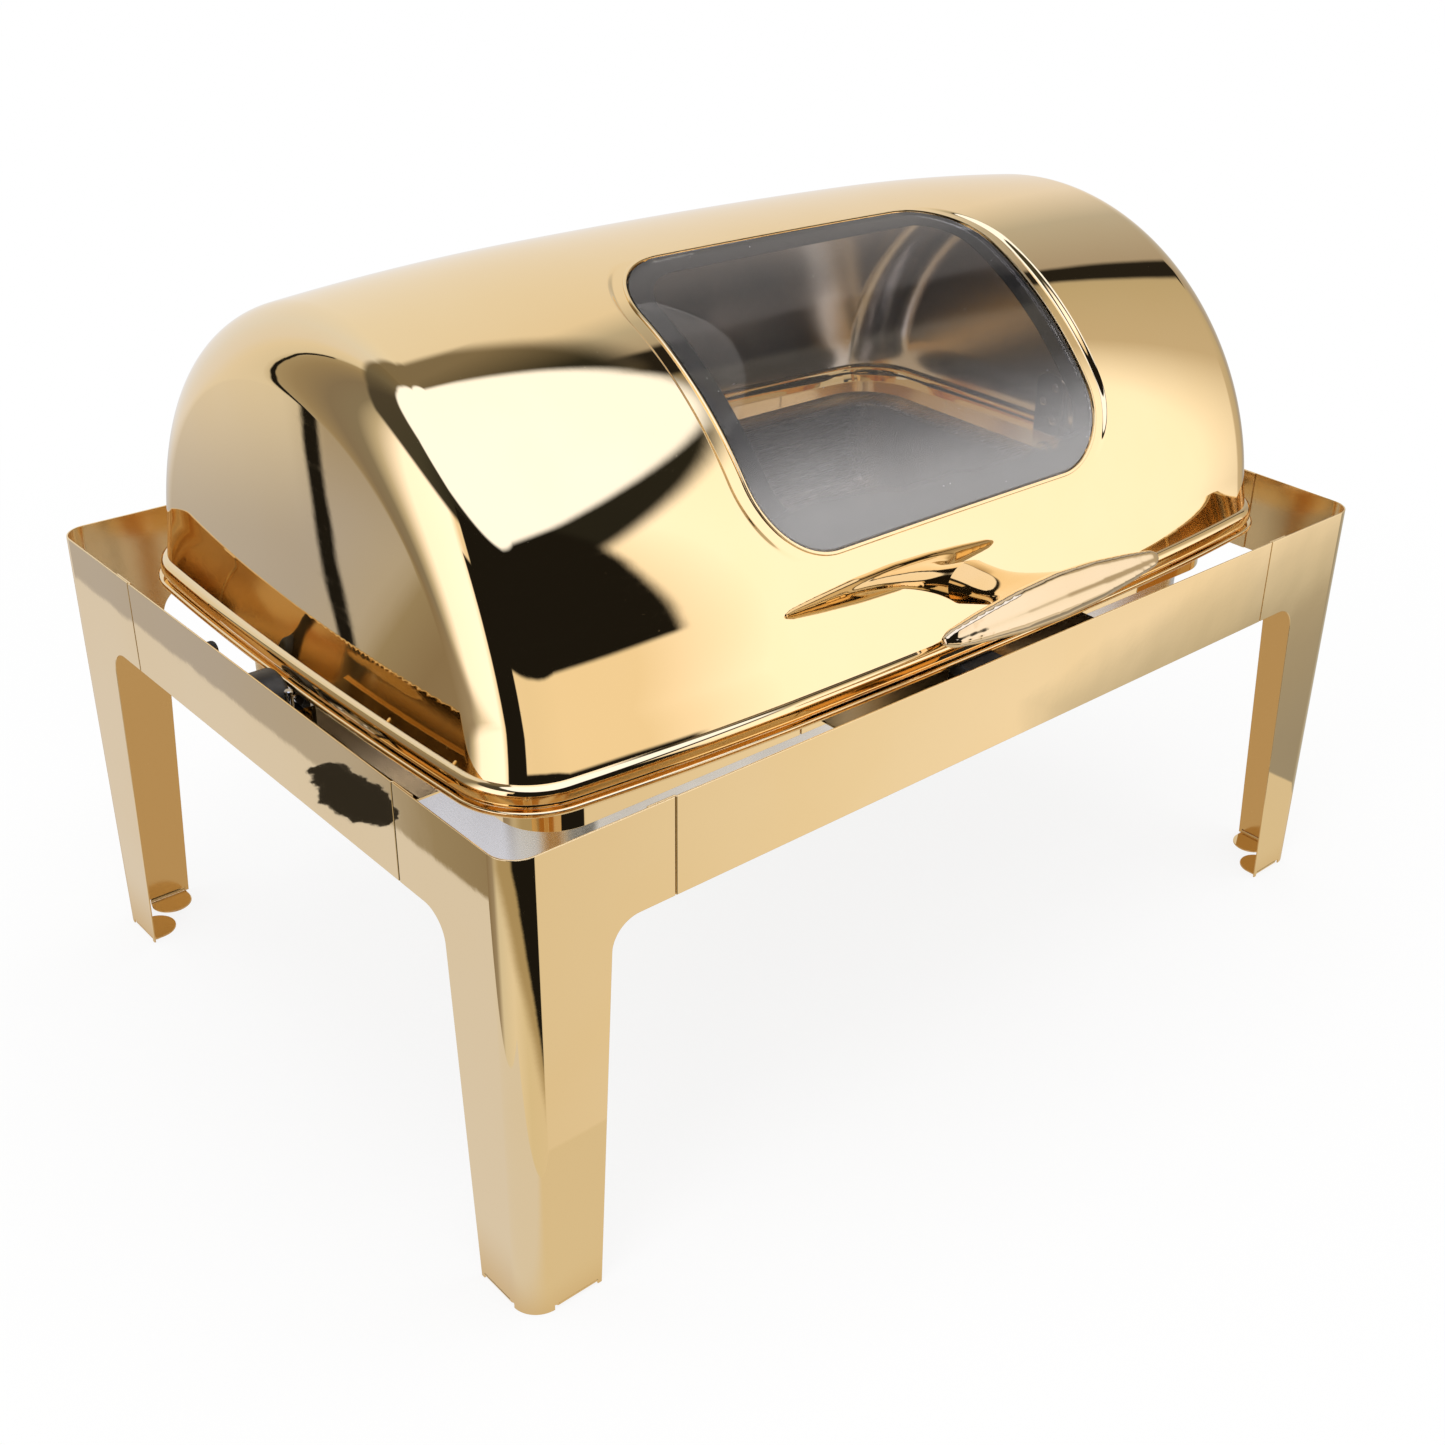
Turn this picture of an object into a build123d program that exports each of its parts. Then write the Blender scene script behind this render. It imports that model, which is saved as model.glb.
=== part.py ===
from build123d import *
import os
from math import asin, cos, radians, sin, sqrt

# Roll top chafer for one full-size gastronorm pan.  Millimetres, +Z up, +X along the long
# front, -Y towards the person who opens the lid.  The model is drawn about the centre of the
# stand, and every node is moved by ORIGIN_Y as it is written, so that the origin is the
# middle of the whole object's footprint, handle included, on the table.

# ---- driving dimensions -------------------------------------------------------------------
STAND_LENGTH = 650.0
STAND_DEPTH = 455.0
STAND_TOP = 268.0
APRON_HEIGHT = 54.0
STAND_SHEET = 1.0
CORNER_RADIUS = 15.0
STUB_REACH = 91.0          # from the corner to the end of a leg's wide top
LEG_TOP_WIDTH = 55.0
LEG_FOOT_WIDTH = 43.0
LEG_FILLET = 16.0

BARREL_RADIUS = 192.0      # outside of the lid, at its middle
BARREL_Y = 1.0
BARREL_Z = 260.0
CROWN_MIDDLE = 120.0       # half length of the flatter middle of the lid's lengthwise curve
CROWN_MIDDLE_RADIUS = 6000.0
CROWN_END_RADIUS = 1650.0
LID_HALF_LENGTH = 295.5
LID_END_BULGE = 6.0        # of the end walls, between the axis and the barrel
LID_END_FILLET = 36.0
LID_SHEET = 0.8
RIM_BOTTOM = 252.0

RING_LENGTH = 538.0
RING_DEPTH = 332.0
RING_BOTTOM = 225.0
RING_TOP = 250.0
RING_SHEET = 1.2
RING_CORNER = 30.0
RING_JOINT_X = -100.0

PIVOT_Y = 8.0
PIVOT_Z = 244.0
PIN_RADIUS = 3.0

WINDOW_LENGTH = 257.0      # of the glass, along X
WINDOW_CHORD = 186.0       # of the glass, across its curve
WINDOW_CORNER = 42.0
WINDOW_TILT = 51.5         # of the window's middle above the horizontal, degrees
WINDOW_SINK = 3.0          # of the seat's middle below the barrel
SEAT_RADIUS = 215.0
GLASS_THICKNESS = 4.0

HANDLE_Y = -248.0
HANDLE_Z = 307.0
HANDLE_HALF_LENGTH = 84.0
HANDLE_HALF_DEPTH = 11.0

SHELF_TOP = 244.2
SHELF_SHEET = 1.2
SIDE_SHELF_FRONT = -122.0
SIDE_SHELF_REAR = -10.0
FRONT_SHELF_LENGTH = 208.0

ORIGIN_Y = -(HANDLE_Y - HANDLE_HALF_DEPTH + STAND_DEPTH / 2) / 2
SIDES = {"left": -1, "right": 1}


def write(name, shape):
    export_step(Pos(0, ORIGIN_Y, 0) * shape, f"parts/{name}.step")


def block(x0, x1, y0, y1, z0, z1):
    """A box between two opposite corners."""
    centre = Pos((x0 + x1) / 2, (y0 + y1) / 2, (z0 + z1) / 2)
    return centre * Box(abs(x1 - x0), abs(y1 - y0), abs(z1 - z0))


def rounded_prism(length, depth, radius, z0, z1, y=0.0):
    """An upright prism with a rounded rectangular plan."""
    return Pos(0, y, z0) * extrude(RectangleRounded(length, depth, radius), z1 - z0)


def rod(radius, x0, x1, y, z):
    """A cylinder along X."""
    middle = Pos((x0 + x1) / 2, y, z)
    return middle * (Rot(0, 90, 0) * Cylinder(radius, abs(x1 - x0)))


def tube(outer, inner, x0, x1, y, z):
    return rod(outer, x0, x1, y, z) - rod(inner, x0 - 1, x1 + 1, y, z)


def on_side(shape, side):
    """A shape drawn for the left end, on either end."""
    return shape if side < 0 else mirror(shape, about=Plane.YZ)


def both_sides(shapes):
    """Copies of shapes drawn for the left end at both ends, as one list."""
    return [on_side(one, side) for one in shapes for side in SIDES.values()]


def dome(radius, height):
    """A shallow rivet head that stands on the XY plane."""
    ball = (radius**2 + height**2) / (2 * height)
    cap = Pos(0, 0, height - ball) * Sphere(ball)
    return cap & (Pos(0, 0, height / 2) * Box(4 * radius, 4 * radius, height))


# ---- stand: legs and aprons ---------------------------------------------------------------
FOOT_BEND = 3.0
TAB_REACH = 20.0
TAB_WIDTH = 25.0
TAB_START = 15.5           # from the corner


def leg_outline():
    """Side view of one wing: distance from the corner against height."""
    stub_bottom = STAND_TOP - APRON_HEIGHT
    points = [
        (0, 0),
        (LEG_FOOT_WIDTH, 0),
        (LEG_TOP_WIDTH, stub_bottom),
        (STUB_REACH, stub_bottom),
        (STUB_REACH, STAND_TOP),
        (0, STAND_TOP),
    ]
    face = make_face(Polyline(*points, close=True))
    inner_corner = face.vertices().sort_by_distance((LEG_TOP_WIDTH, stub_bottom))[0]
    return fillet(inner_corner, LEG_FILLET)


def foot_tab():
    """The round-ended tab bent inward under one wing; the wing runs along X, inward is +Y."""
    bend = Pos(FOOT_BEND, FOOT_BEND) * (Circle(FOOT_BEND) - Circle(FOOT_BEND - STAND_SHEET))
    bend &= Pos(FOOT_BEND / 2, FOOT_BEND / 2) * Rectangle(FOOT_BEND, FOOT_BEND)
    flat_length = TAB_REACH - FOOT_BEND
    flat = Pos(FOOT_BEND + flat_length / 2, STAND_SHEET / 2) * Rectangle(flat_length, STAND_SHEET)
    section = Plane((TAB_START, 0, 0), x_dir=(0, 1, 0), z_dir=(1, 0, 0)) * (bend + flat)
    strip = extrude(section, TAB_WIDTH)
    middle = TAB_START + TAB_WIDTH / 2
    straight = TAB_REACH - TAB_WIDTH / 2
    plan = Pos(middle, straight / 2 - 1) * Rectangle(TAB_WIDTH, straight + 2)
    plan += Pos(middle, straight) * Circle(TAB_WIDTH / 2)
    return strip & extrude(plan, 2 * FOOT_BEND)


def leg():
    """One bent-sheet leg with its corner at the origin and its wings along +X and +Y."""
    outside = Pos(STUB_REACH, STUB_REACH) * RectangleRounded(
        2 * STUB_REACH, 2 * STUB_REACH, CORNER_RADIUS
    )
    inside_size = 2 * STUB_REACH - 2 * STAND_SHEET
    inside = Pos(STUB_REACH, STUB_REACH) * RectangleRounded(
        inside_size, inside_size, CORNER_RADIUS - STAND_SHEET
    )
    sheet = extrude(outside - inside, STAND_TOP)
    sheet &= block(0, STUB_REACH, 0, STUB_REACH, 0, STAND_TOP)
    across = Plane((0, -1, 0), x_dir=(1, 0, 0), z_dir=(0, -1, 0)) * leg_outline()
    mask = extrude(across, -(STUB_REACH + 2))
    diagonal = Plane((0, 0, 0), z_dir=(1, -1, 0))
    sheet = sheet & mask & mirror(mask, about=diagonal)
    notch = block(TAB_START, TAB_START + TAB_WIDTH, -1, FOOT_BEND, -1, FOOT_BEND)
    tab = foot_tab()
    for cut in (notch, mirror(notch, about=diagonal)):
        sheet -= cut
    return sheet + tab + mirror(tab, about=diagonal)


def place_leg(shape, x_side, y_side):
    if x_side > 0:
        shape = mirror(shape, about=Plane.YZ)
    if y_side > 0:
        shape = mirror(shape, about=Plane.XZ)
    return Pos(x_side * STAND_LENGTH / 2, y_side * STAND_DEPTH / 2, 0) * shape


JOGGLE_LENGTH = 1.5
TONGUE_LENGTH = 15.0
SHEET_GAP = 0.05


def apron(span):
    """A strip along X with its outer face on y = 0 and its ends stepped in behind the stubs."""
    half = span / 2 - STUB_REACH
    step = STAND_SHEET + SHEET_GAP
    right = [(half - JOGGLE_LENGTH, 0), (half, step), (half + TONGUE_LENGTH, step)]
    left = [(-x, y) for x, y in reversed(right)]
    outer = left + right
    inner = [(x, y + STAND_SHEET) for x, y in reversed(outer)]
    plan = make_face(Polyline(*outer, *inner, close=True))
    return Pos(0, 0, STAND_TOP - APRON_HEIGHT) * extrude(plan, APRON_HEIGHT)


def build_stand():
    one_leg = leg()
    for y_name, y_side in (("front", -1), ("rear", 1)):
        for x_name, x_side in SIDES.items():
            write(f"leg_{y_name}_{x_name}", place_leg(one_leg, x_side, y_side))
    long_strip = apron(STAND_LENGTH)
    short_strip = apron(STAND_DEPTH)
    write("apron_front", Pos(0, -STAND_DEPTH / 2, 0) * long_strip)
    write("apron_rear", Pos(0, STAND_DEPTH / 2, 0) * Rot(0, 0, 180) * long_strip)
    write("apron_left", Pos(-STAND_LENGTH / 2, 0, 0) * Rot(0, 0, -90) * short_strip)
    write("apron_right", Pos(STAND_LENGTH / 2, 0, 0) * Rot(0, 0, 90) * short_strip)


# ---- stand: well ring, its shelves and their rivets ---------------------------------------
APRON_IN_X = STAND_LENGTH / 2 - STAND_SHEET
APRON_IN_Y = STAND_DEPTH / 2 - STAND_SHEET
FLANGE_DROP = 12.0
FLANGE_RISE = 21.0
STOP_X0 = -304.0
STOP_X1 = -297.0
STOP_DROP = 18.0
RIVET_RADIUS = 3.4
RIVET_HEIGHT = 1.5
SPLICE_LENGTH = 36.0
JOINT_GAP = 0.8


def well_ring():
    outer = rounded_prism(RING_LENGTH, RING_DEPTH, RING_CORNER, RING_BOTTOM, RING_TOP)
    inner = rounded_prism(
        RING_LENGTH - 2 * RING_SHEET,
        RING_DEPTH - 2 * RING_SHEET,
        RING_CORNER - RING_SHEET,
        RING_BOTTOM - 1,
        RING_TOP + 1,
    )
    front = -RING_DEPTH / 2
    gap_x = (RING_JOINT_X - JOINT_GAP / 2, RING_JOINT_X + JOINT_GAP / 2)
    gap = block(*gap_x, front - 1, front + RING_SHEET + 1, RING_BOTTOM - 1, RING_TOP + 1)
    return outer - inner - gap


def ring_splice():
    """The strip behind the ring's open joint."""
    face = -RING_DEPTH / 2 + RING_SHEET
    x0 = RING_JOINT_X - SPLICE_LENGTH / 2
    return block(
        x0, x0 + SPLICE_LENGTH, face, face + STAND_SHEET, RING_BOTTOM + 1, RING_TOP - 1
    )


def front_shelf():
    """Flat plate from the front apron to the ring, with a lip turned down at each."""
    half = FRONT_SHELF_LENGTH / 2
    y0, y1 = -APRON_IN_Y, -RING_DEPTH / 2
    body = block(-half, half, y0, y1, SHELF_TOP - FLANGE_DROP, SHELF_TOP)
    hollow = block(
        -half - 1, half + 1, y0 + SHELF_SHEET, y1 - SHELF_SHEET, 0, SHELF_TOP - SHELF_SHEET
    )
    plate = body - hollow
    bends = plate.edges().filter_by(Axis.X).group_by(Axis.Z)[-1]
    return fillet(bends, 1.0)


SCREW_Y = (-50.0, -26.0)
SCREW_X = -312.0
SCREW_RADIUS = 2.0
SCREW_CLEARANCE = 0.1


def left_shelf():
    """Side plate: a lip up the apron, a lip down the ring, and a tab down its rear edge."""
    x0, x1 = -APRON_IN_X, -RING_LENGTH / 2
    y0, y1 = SIDE_SHELF_FRONT, SIDE_SHELF_REAR
    under = SHELF_TOP - SHELF_SHEET
    plate = block(x0, x1, y0, y1, under, SHELF_TOP)
    plate += block(x0, x0 + SHELF_SHEET, y0, y1, under, SHELF_TOP + FLANGE_RISE)
    plate += block(x1 - SHELF_SHEET, x1, y0, y1, SHELF_TOP - FLANGE_DROP, SHELF_TOP)
    plate += block(STOP_X0, STOP_X1, y1 - SHELF_SHEET, y1, SHELF_TOP - STOP_DROP, SHELF_TOP)
    for y in SCREW_Y:
        hole = Cylinder(SCREW_RADIUS + SCREW_CLEARANCE, 10)
        plate -= Pos(SCREW_X, y, SHELF_TOP) * hole
    return plate


def rivet_heads():
    """Domed heads on the lips of the three shelves."""
    head = dome(RIVET_RADIUS, RIVET_HEIGHT)
    low = SHELF_TOP - FLANGE_DROP / 2
    heads = []
    for x in (-80.0, 0.0, 80.0):
        heads.append(Pos(x, -APRON_IN_Y + SHELF_SHEET, low) * Rot(-90, 0, 0) * head)
        heads.append(Pos(x, -RING_DEPTH / 2 - SHELF_SHEET, low) * Rot(90, 0, 0) * head)
    high = SHELF_TOP + FLANGE_RISE - 5
    for y in (-112.0, -56.0):
        up = Pos(-APRON_IN_X + SHELF_SHEET, y, high) * Rot(0, 90, 0) * head
        down = Pos(-RING_LENGTH / 2 - SHELF_SHEET, y, low) * Rot(0, -90, 0) * head
        heads += both_sides([up, down])
    return Compound(heads)


BUMPER_HALF_LENGTH = 14.0
BUMPER_FRONT = -212.0
BUMPER_REAR = -189.0
STOP_CLEARANCE = 0.3


def lid_bumper():
    """Rubber block on the front shelf, just under the closed lid's rim."""
    body = block(
        -BUMPER_HALF_LENGTH,
        BUMPER_HALF_LENGTH,
        BUMPER_FRONT,
        BUMPER_REAR,
        SHELF_TOP,
        RIM_BOTTOM - STOP_CLEARANCE,
    )
    body = fillet(body.edges().filter_by(Axis.Z), 3.0)
    return chamfer(body.faces().sort_by(Axis.Z)[-1].edges(), 1.0)


def build_well():
    write("well_ring", well_ring())
    write("ring_splice", ring_splice())
    write("shelf_front", front_shelf())
    plate = left_shelf()
    for name, side in SIDES.items():
        write(f"shelf_{name}", on_side(plate, side))
    write("plate_rivets", rivet_heads())
    write("lid_bumper", lid_bumper())


# ---- stand: pivots and stops --------------------------------------------------------------
BRACKET_X0 = -321.5
BRACKET_X1 = -319.5
BRACKET_FRONT = -62.0
BRACKET_FOOT_END = -16.0
BRACKET_RISE = 14.0
BOSS_RADIUS = 17.0
BOSS_X1 = -305.0
FOOT_X1 = -306.0
PIN_END = -288.6
ARM_X0 = -(LID_HALF_LENGTH - LID_SHEET)
ARM_SHEET = 2.5
ARM_X1 = ARM_X0 + ARM_SHEET
FLANGE_SHEET = 1.0


def pivot_bracket():
    """Angle bracket: a foot on the shelf, and an upright that runs back to the pivot."""
    y_end = PIVOT_Y - BOSS_RADIUS
    upright = block(
        BRACKET_X0, BRACKET_X1, BRACKET_FRONT, y_end, SHELF_TOP, SHELF_TOP + BRACKET_RISE
    )
    disc = rod(BOSS_RADIUS, BRACKET_X0, BRACKET_X1, PIVOT_Y, PIVOT_Z)
    web = block(
        BRACKET_X0, BRACKET_X1, y_end - 1, PIVOT_Y, SHELF_TOP, SHELF_TOP + BRACKET_RISE
    )
    foot = block(
        BRACKET_X0, FOOT_X1, BRACKET_FRONT, BRACKET_FOOT_END, SHELF_TOP, SHELF_TOP + 2
    )
    body = upright + disc + web + foot
    body -= rod(PIN_RADIUS + 0.02, BRACKET_X0 - 1, BRACKET_X1 + 1, PIVOT_Y, PIVOT_Z)
    for y in SCREW_Y:
        body -= Pos(SCREW_X, y, SHELF_TOP) * Cylinder(SCREW_RADIUS + SCREW_CLEARANCE, 10)
    return body


def bracket_screw(y):
    """Pan head screw down through the foot and the shelf."""
    seat = SHELF_TOP + 2
    head = Pos(SCREW_X, y, seat) * dome(4.0, 2.4)
    head -= Pos(SCREW_X, y, seat + 2.4) * Box(1.0, 4.4, 2.0)
    head -= Pos(SCREW_X, y, seat + 2.4) * Box(4.4, 1.0, 2.0)
    shank = Pos(SCREW_X, y, seat - 5) * Cylinder(SCREW_RADIUS, 10.1)
    return head + shank


def bracket_nut(y):
    under = SHELF_TOP - SHELF_SHEET
    body = extrude(RegularPolygon(3.5, 6, major_radius=False), 3.0)
    body -= Cylinder(SCREW_RADIUS + SCREW_CLEARANCE, 20)
    return Pos(SCREW_X, y, under - 3.0) * body


def pivot_boss():
    """Moulded drum that holds the pin, with a raised ring round its face."""
    drum = rod(BOSS_RADIUS, BRACKET_X1, BOSS_X1, PIVOT_Y, PIVOT_Z)
    drum = fillet(drum.edges().sort_by(Axis.X)[-1], 3.0)
    drum -= tube(13.0, 8.0, BOSS_X1 - 1.5, BOSS_X1 + 1, PIVOT_Y, PIVOT_Z)
    return drum - rod(PIN_RADIUS + 0.02, BRACKET_X1 - 1, BOSS_X1 + 1, PIVOT_Y, PIVOT_Z)


def pivot_pin():
    pin = rod(PIN_RADIUS, BRACKET_X0, PIN_END, PIVOT_Y, PIVOT_Z)
    groove = tube(PIN_RADIUS + 1, PIN_RADIUS - 0.5, *clip_span(), PIVOT_Y, PIVOT_Z)
    pin -= groove
    return chamfer(pin.edges().sort_by(Axis.X)[-1], 0.5)


def clip_span():
    inner_face = ARM_X1 + FLANGE_SHEET
    return inner_face + 0.3, inner_face + 1.1


def pivot_clip():
    """Open spring clip in the pin's groove."""
    ring = tube(6.0, PIN_RADIUS - 0.45, *clip_span(), PIVOT_Y, PIVOT_Z)
    mouth = block(*clip_span(), PIVOT_Y - 2.2, PIVOT_Y + 2.2, PIVOT_Z - 8, PIVOT_Z)
    return ring - mouth


def roll_stop():
    """Rubber block on the shelf's rear tab, where the rim lands when the lid is open."""
    y1 = PIVOT_Y + (RIM_BOTTOM - PIVOT_Z) - STOP_CLEARANCE
    body = block(STOP_X0, STOP_X1, SIDE_SHELF_REAR, y1, SHELF_TOP - STOP_DROP, PIVOT_Z - 5)
    return fillet(body.edges().filter_by(Axis.X), 2.0)


POST_RADIUS = 2.2
POST_RISE = 14.5


def guide_post():
    """Bright post that stands on the side shelf, just in front of the pivot."""
    post = Pos(-310.0, -12.5, SHELF_TOP + POST_RISE / 2) * Cylinder(POST_RADIUS, POST_RISE)
    return chamfer(post.edges().sort_by(Axis.Z)[-1], 0.5)


def side_buffer():
    """Rubber stud on the inside of the side apron."""
    stud = rod(4.5, -APRON_IN_X, -APRON_IN_X + 6, 48.0, 261.0)
    return fillet(stud.edges().sort_by(Axis.X)[-1], 2.0)


def build_pivots():
    for name, side in SIDES.items():
        write(f"pivot_bracket_{name}", on_side(pivot_bracket(), side))
        write(f"pivot_boss_{name}", on_side(pivot_boss(), side))
        write(f"pivot_pin_{name}", on_side(pivot_pin(), side))
        write(f"roll_stop_{name}", on_side(roll_stop(), side))
    screws = [bracket_screw(y) for y in SCREW_Y]
    nuts = [bracket_nut(y) for y in SCREW_Y]
    write("bracket_screws", Compound(both_sides(screws)))
    write("bracket_nuts", Compound(both_sides(nuts)))
    write("pivot_clips", Compound(both_sides([pivot_clip()])))
    write("guide_posts", Compound(both_sides([guide_post()])))
    write("side_buffers", Compound(both_sides([side_buffer()])))


# ---- pans ---------------------------------------------------------------------------------
PAN_SHEET = 0.8


def pan(flange, flange_corner, body, body_corner, top, depth, base_fillet):
    """A deep-drawn pan with a flat flange; its flange's top face is at the given height."""
    bottom = top - depth
    lip = rounded_prism(*flange, flange_corner, top - PAN_SHEET, top)
    outer = rounded_prism(*body, body_corner, bottom, top - PAN_SHEET)
    outer = fillet(outer.faces().sort_by(Axis.Z)[0].edges(), base_fillet)
    hole_size = [side - 2 * PAN_SHEET for side in body]
    inner = rounded_prism(*hole_size, body_corner - PAN_SHEET, bottom + PAN_SHEET, top + 1)
    inner = fillet(inner.faces().sort_by(Axis.Z)[0].edges(), base_fillet - PAN_SHEET)
    return lip + outer - inner


def build_pans():
    water_top = RING_TOP + PAN_SHEET
    write("water_pan", pan((556, 350), 38, (520, 315), 34, water_top, 100.0, 14.0))
    write("food_pan", pan((530, 325), 26, (504, 299), 24, water_top + PAN_SHEET, 65.0, 18.0))


# ---- lid ----------------------------------------------------------------------------------
def crown_sag(x):
    """How far the barrel's surface has fallen at a distance from its middle."""
    if x <= CROWN_MIDDLE:
        return CROWN_MIDDLE_RADIUS - sqrt(CROWN_MIDDLE_RADIUS**2 - x**2)
    turn = asin(CROWN_MIDDLE / CROWN_MIDDLE_RADIUS)
    centre = CROWN_MIDDLE - CROWN_END_RADIUS * sin(turn)
    tangent_height = CROWN_END_RADIUS * cos(turn) + crown_sag(CROWN_MIDDLE)
    return tangent_height - sqrt(CROWN_END_RADIUS**2 - (x - centre) ** 2)


def crown_line(radius, reach):
    """The barrel's lengthwise curve: a flatter arc between two rounder ones."""
    def at(x):
        return (x, radius - crown_sag(abs(x)))

    half_way = (CROWN_MIDDLE + reach) / 2
    return [
        ThreePointArc(at(-reach), at(-half_way), at(-CROWN_MIDDLE)),
        ThreePointArc(at(-CROWN_MIDDLE), at(0), at(CROWN_MIDDLE)),
        ThreePointArc(at(CROWN_MIDDLE), at(half_way), at(reach)),
    ]


def barrel(radius, drop=0.0):
    """A long crowned barrel along X; drop moves its axis away from the window's middle."""
    reach = LID_HALF_LENGTH + 30
    end = radius - crown_sag(reach)
    rest = Polyline((reach, end), (reach, 0), (-reach, 0), (-reach, end))
    solid = revolve(make_face(crown_line(radius, reach) + [rest]), axis=Axis.X)
    y = BARREL_Y + drop * cos(radians(WINDOW_TILT))
    z = BARREL_Z - drop * sin(radians(WINDOW_TILT))
    return Pos(0, y, z) * solid


def lid_plan(grow=0.0):
    """The lid's outline through its axis: crowned sides, rounded corners, bulged ends."""
    half = LID_HALF_LENGTH - LID_END_BULGE + grow
    radius = BARREL_RADIUS + grow
    edge = radius - crown_sag(half)
    side = crown_line(radius, half)
    end = ThreePointArc((half, edge), (LID_HALF_LENGTH + grow, 0), (half, -edge))
    across = [mirror(line, about=Plane.XZ) for line in side]
    face = make_face(side + across + [end, mirror(end, about=Plane.YZ)])
    corners = [one for one in face.vertices() if abs(one.X) > half - 1]
    return fillet(corners, LID_END_FILLET + grow)


def lid_body(inset=0.0):
    """The whole barrel with its rounded ends, turned about its axis."""
    half_plan = lid_plan(-inset) & Pos(0, BARREL_RADIUS) * Rectangle(800, 2 * BARREL_RADIUS)
    return Pos(0, BARREL_Y, BARREL_Z) * revolve(half_plan, axis=Axis.X)


def lid_block(inset):
    """The solid inside the lid's skin, cut off at the rim."""
    return lid_body(inset) - block(-400, 400, -400, 400, 0, RIM_BOTTOM)


def rim_ring(grow, z0, z1):
    """A slab with the plan of the lid's wall, grown outward."""
    return Pos(0, BARREL_Y, z0) * extrude(lid_plan(grow), z1 - z0)


SHOULDER = (6.0, 6.4, 14.6)    # outward reach, bottom and top above the rim's bottom
WAIST = (3.8, 3.2, 6.4)
BEAD = (8.0, 0.0, 3.2)


def rim_band(size, inset):
    """One band of the rim; a positive inset gives the space inside its sheet."""
    reach, low, high = size
    return rim_ring(reach - inset, RIM_BOTTOM + low, RIM_BOTTOM + high)


def rim_outside():
    """Shoulder, waist and the solid rolled bead at the bottom."""
    shoulder = rim_band(SHOULDER, 0)
    shoulder = fillet(shoulder.faces().sort_by(Axis.Z)[-1].edges(), 5.5)
    bead = rim_band(BEAD, 0)
    upper = bead.faces().sort_by(Axis.Z)[-1].edges()
    lower = bead.faces().sort_by(Axis.Z)[0].edges()
    return shoulder + rim_band(WAIST, 0) + fillet(upper + lower, 1.5)


def rim_inside():
    """The space inside the rim: the waist's width, widened behind the shoulder."""
    reach, low, high = SHOULDER
    low, high = low + LID_SHEET, high - LID_SHEET
    shoulder = rim_band((reach, low, high), LID_SHEET)
    shoulder = fillet(shoulder.faces().sort_by(Axis.Z)[-1].edges(), 5.5 - LID_SHEET)
    return shoulder + rim_band((WAIST[0], -1.0, high - 5.0), LID_SHEET)


def window_prism(grow, grow_chord=None, corner=None):
    """A prism through the lid with the outline of the glass, grown by a margin."""
    chord_grow = grow if grow_chord is None else grow_chord
    radius = WINDOW_CORNER + grow if corner is None else corner
    tilt = radians(WINDOW_TILT)
    plane = Plane((0, BARREL_Y, BARREL_Z), x_dir=(1, 0, 0), z_dir=(0, -cos(tilt), sin(tilt)))
    outline = RectangleRounded(WINDOW_LENGTH + 2 * grow, WINDOW_CHORD + 2 * chord_grow, radius)
    return extrude(plane.offset(120) * outline, 110)


SEAT_DROP = SEAT_RADIUS - (BARREL_RADIUS - WINDOW_SINK)
SEAT_MARGIN = (11.0, 6.0, 50.0)    # beyond the glass along X and across, and corner radius
POCKET_GAP = 1.0
POCKET_DEPTH = GLASS_THICKNESS + 0.3
LEDGE = 12.0


def seat(offset):
    """The surface of the window seat, flatter than the barrel, offset outward."""
    return barrel(SEAT_RADIUS + offset, SEAT_DROP)


def window_seat():
    """Flattened patch with a step at its sides, and the pocket that the glass lies in."""
    side, across, corner = SEAT_MARGIN
    outline = window_prism(side, across, corner)
    inside = window_prism(side - LID_SHEET, across - LID_SHEET, corner - LID_SHEET)
    step = outline - inside
    step = step & (barrel(BARREL_RADIUS) + seat(0))
    step -= barrel(BARREL_RADIUS - LID_SHEET) & seat(-LID_SHEET)
    patch = (seat(0) - seat(-LID_SHEET)) & outline
    patch -= window_prism(POCKET_GAP)
    wall = window_prism(POCKET_GAP + LID_SHEET) - window_prism(POCKET_GAP)
    wall = wall & (seat(0) - seat(-POCKET_DEPTH - LID_SHEET))
    ledge = window_prism(POCKET_GAP + LID_SHEET) - window_prism(-LEDGE)
    ledge = ledge & (seat(-POCKET_DEPTH) - seat(-POCKET_DEPTH - LID_SHEET))
    return step + patch + wall + ledge


HANDLE_SCREW_X = 9.0
HANDLE_FOOT_Z = 291.0
HANDLE_SCREW_RADIUS = 2.5


def handle_screw_holes():
    holes = []
    for x in (-HANDLE_SCREW_X, HANDLE_SCREW_X):
        hole = Rot(90, 0, 0) * Cylinder(HANDLE_SCREW_RADIUS + SCREW_CLEARANCE, 60)
        holes.append(Pos(x, BARREL_Y - BARREL_RADIUS, HANDLE_FOOT_Z) * hole)
    return holes


def lid_shell():
    shell = lid_block(0) + rim_outside()
    shell -= lid_block(LID_SHEET) + rim_inside()
    shell -= window_prism(*SEAT_MARGIN)
    shell += window_seat()
    for hole in handle_screw_holes():
        shell -= hole
    return shell


def window_glass():
    return window_prism(0) & (seat(0) - seat(-GLASS_THICKNESS))


def window_seal():
    """Black band bonded under the edge of the glass."""
    band = window_prism(0) - window_prism(-14.0)
    return band & (seat(-GLASS_THICKNESS) - seat(-POCKET_DEPTH))


def window_trim():
    """Thin raised lip round the glass."""
    band = window_prism(POCKET_GAP + 1.6) - window_prism(POCKET_GAP)
    return band & (seat(0.9) - seat(0))


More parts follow.
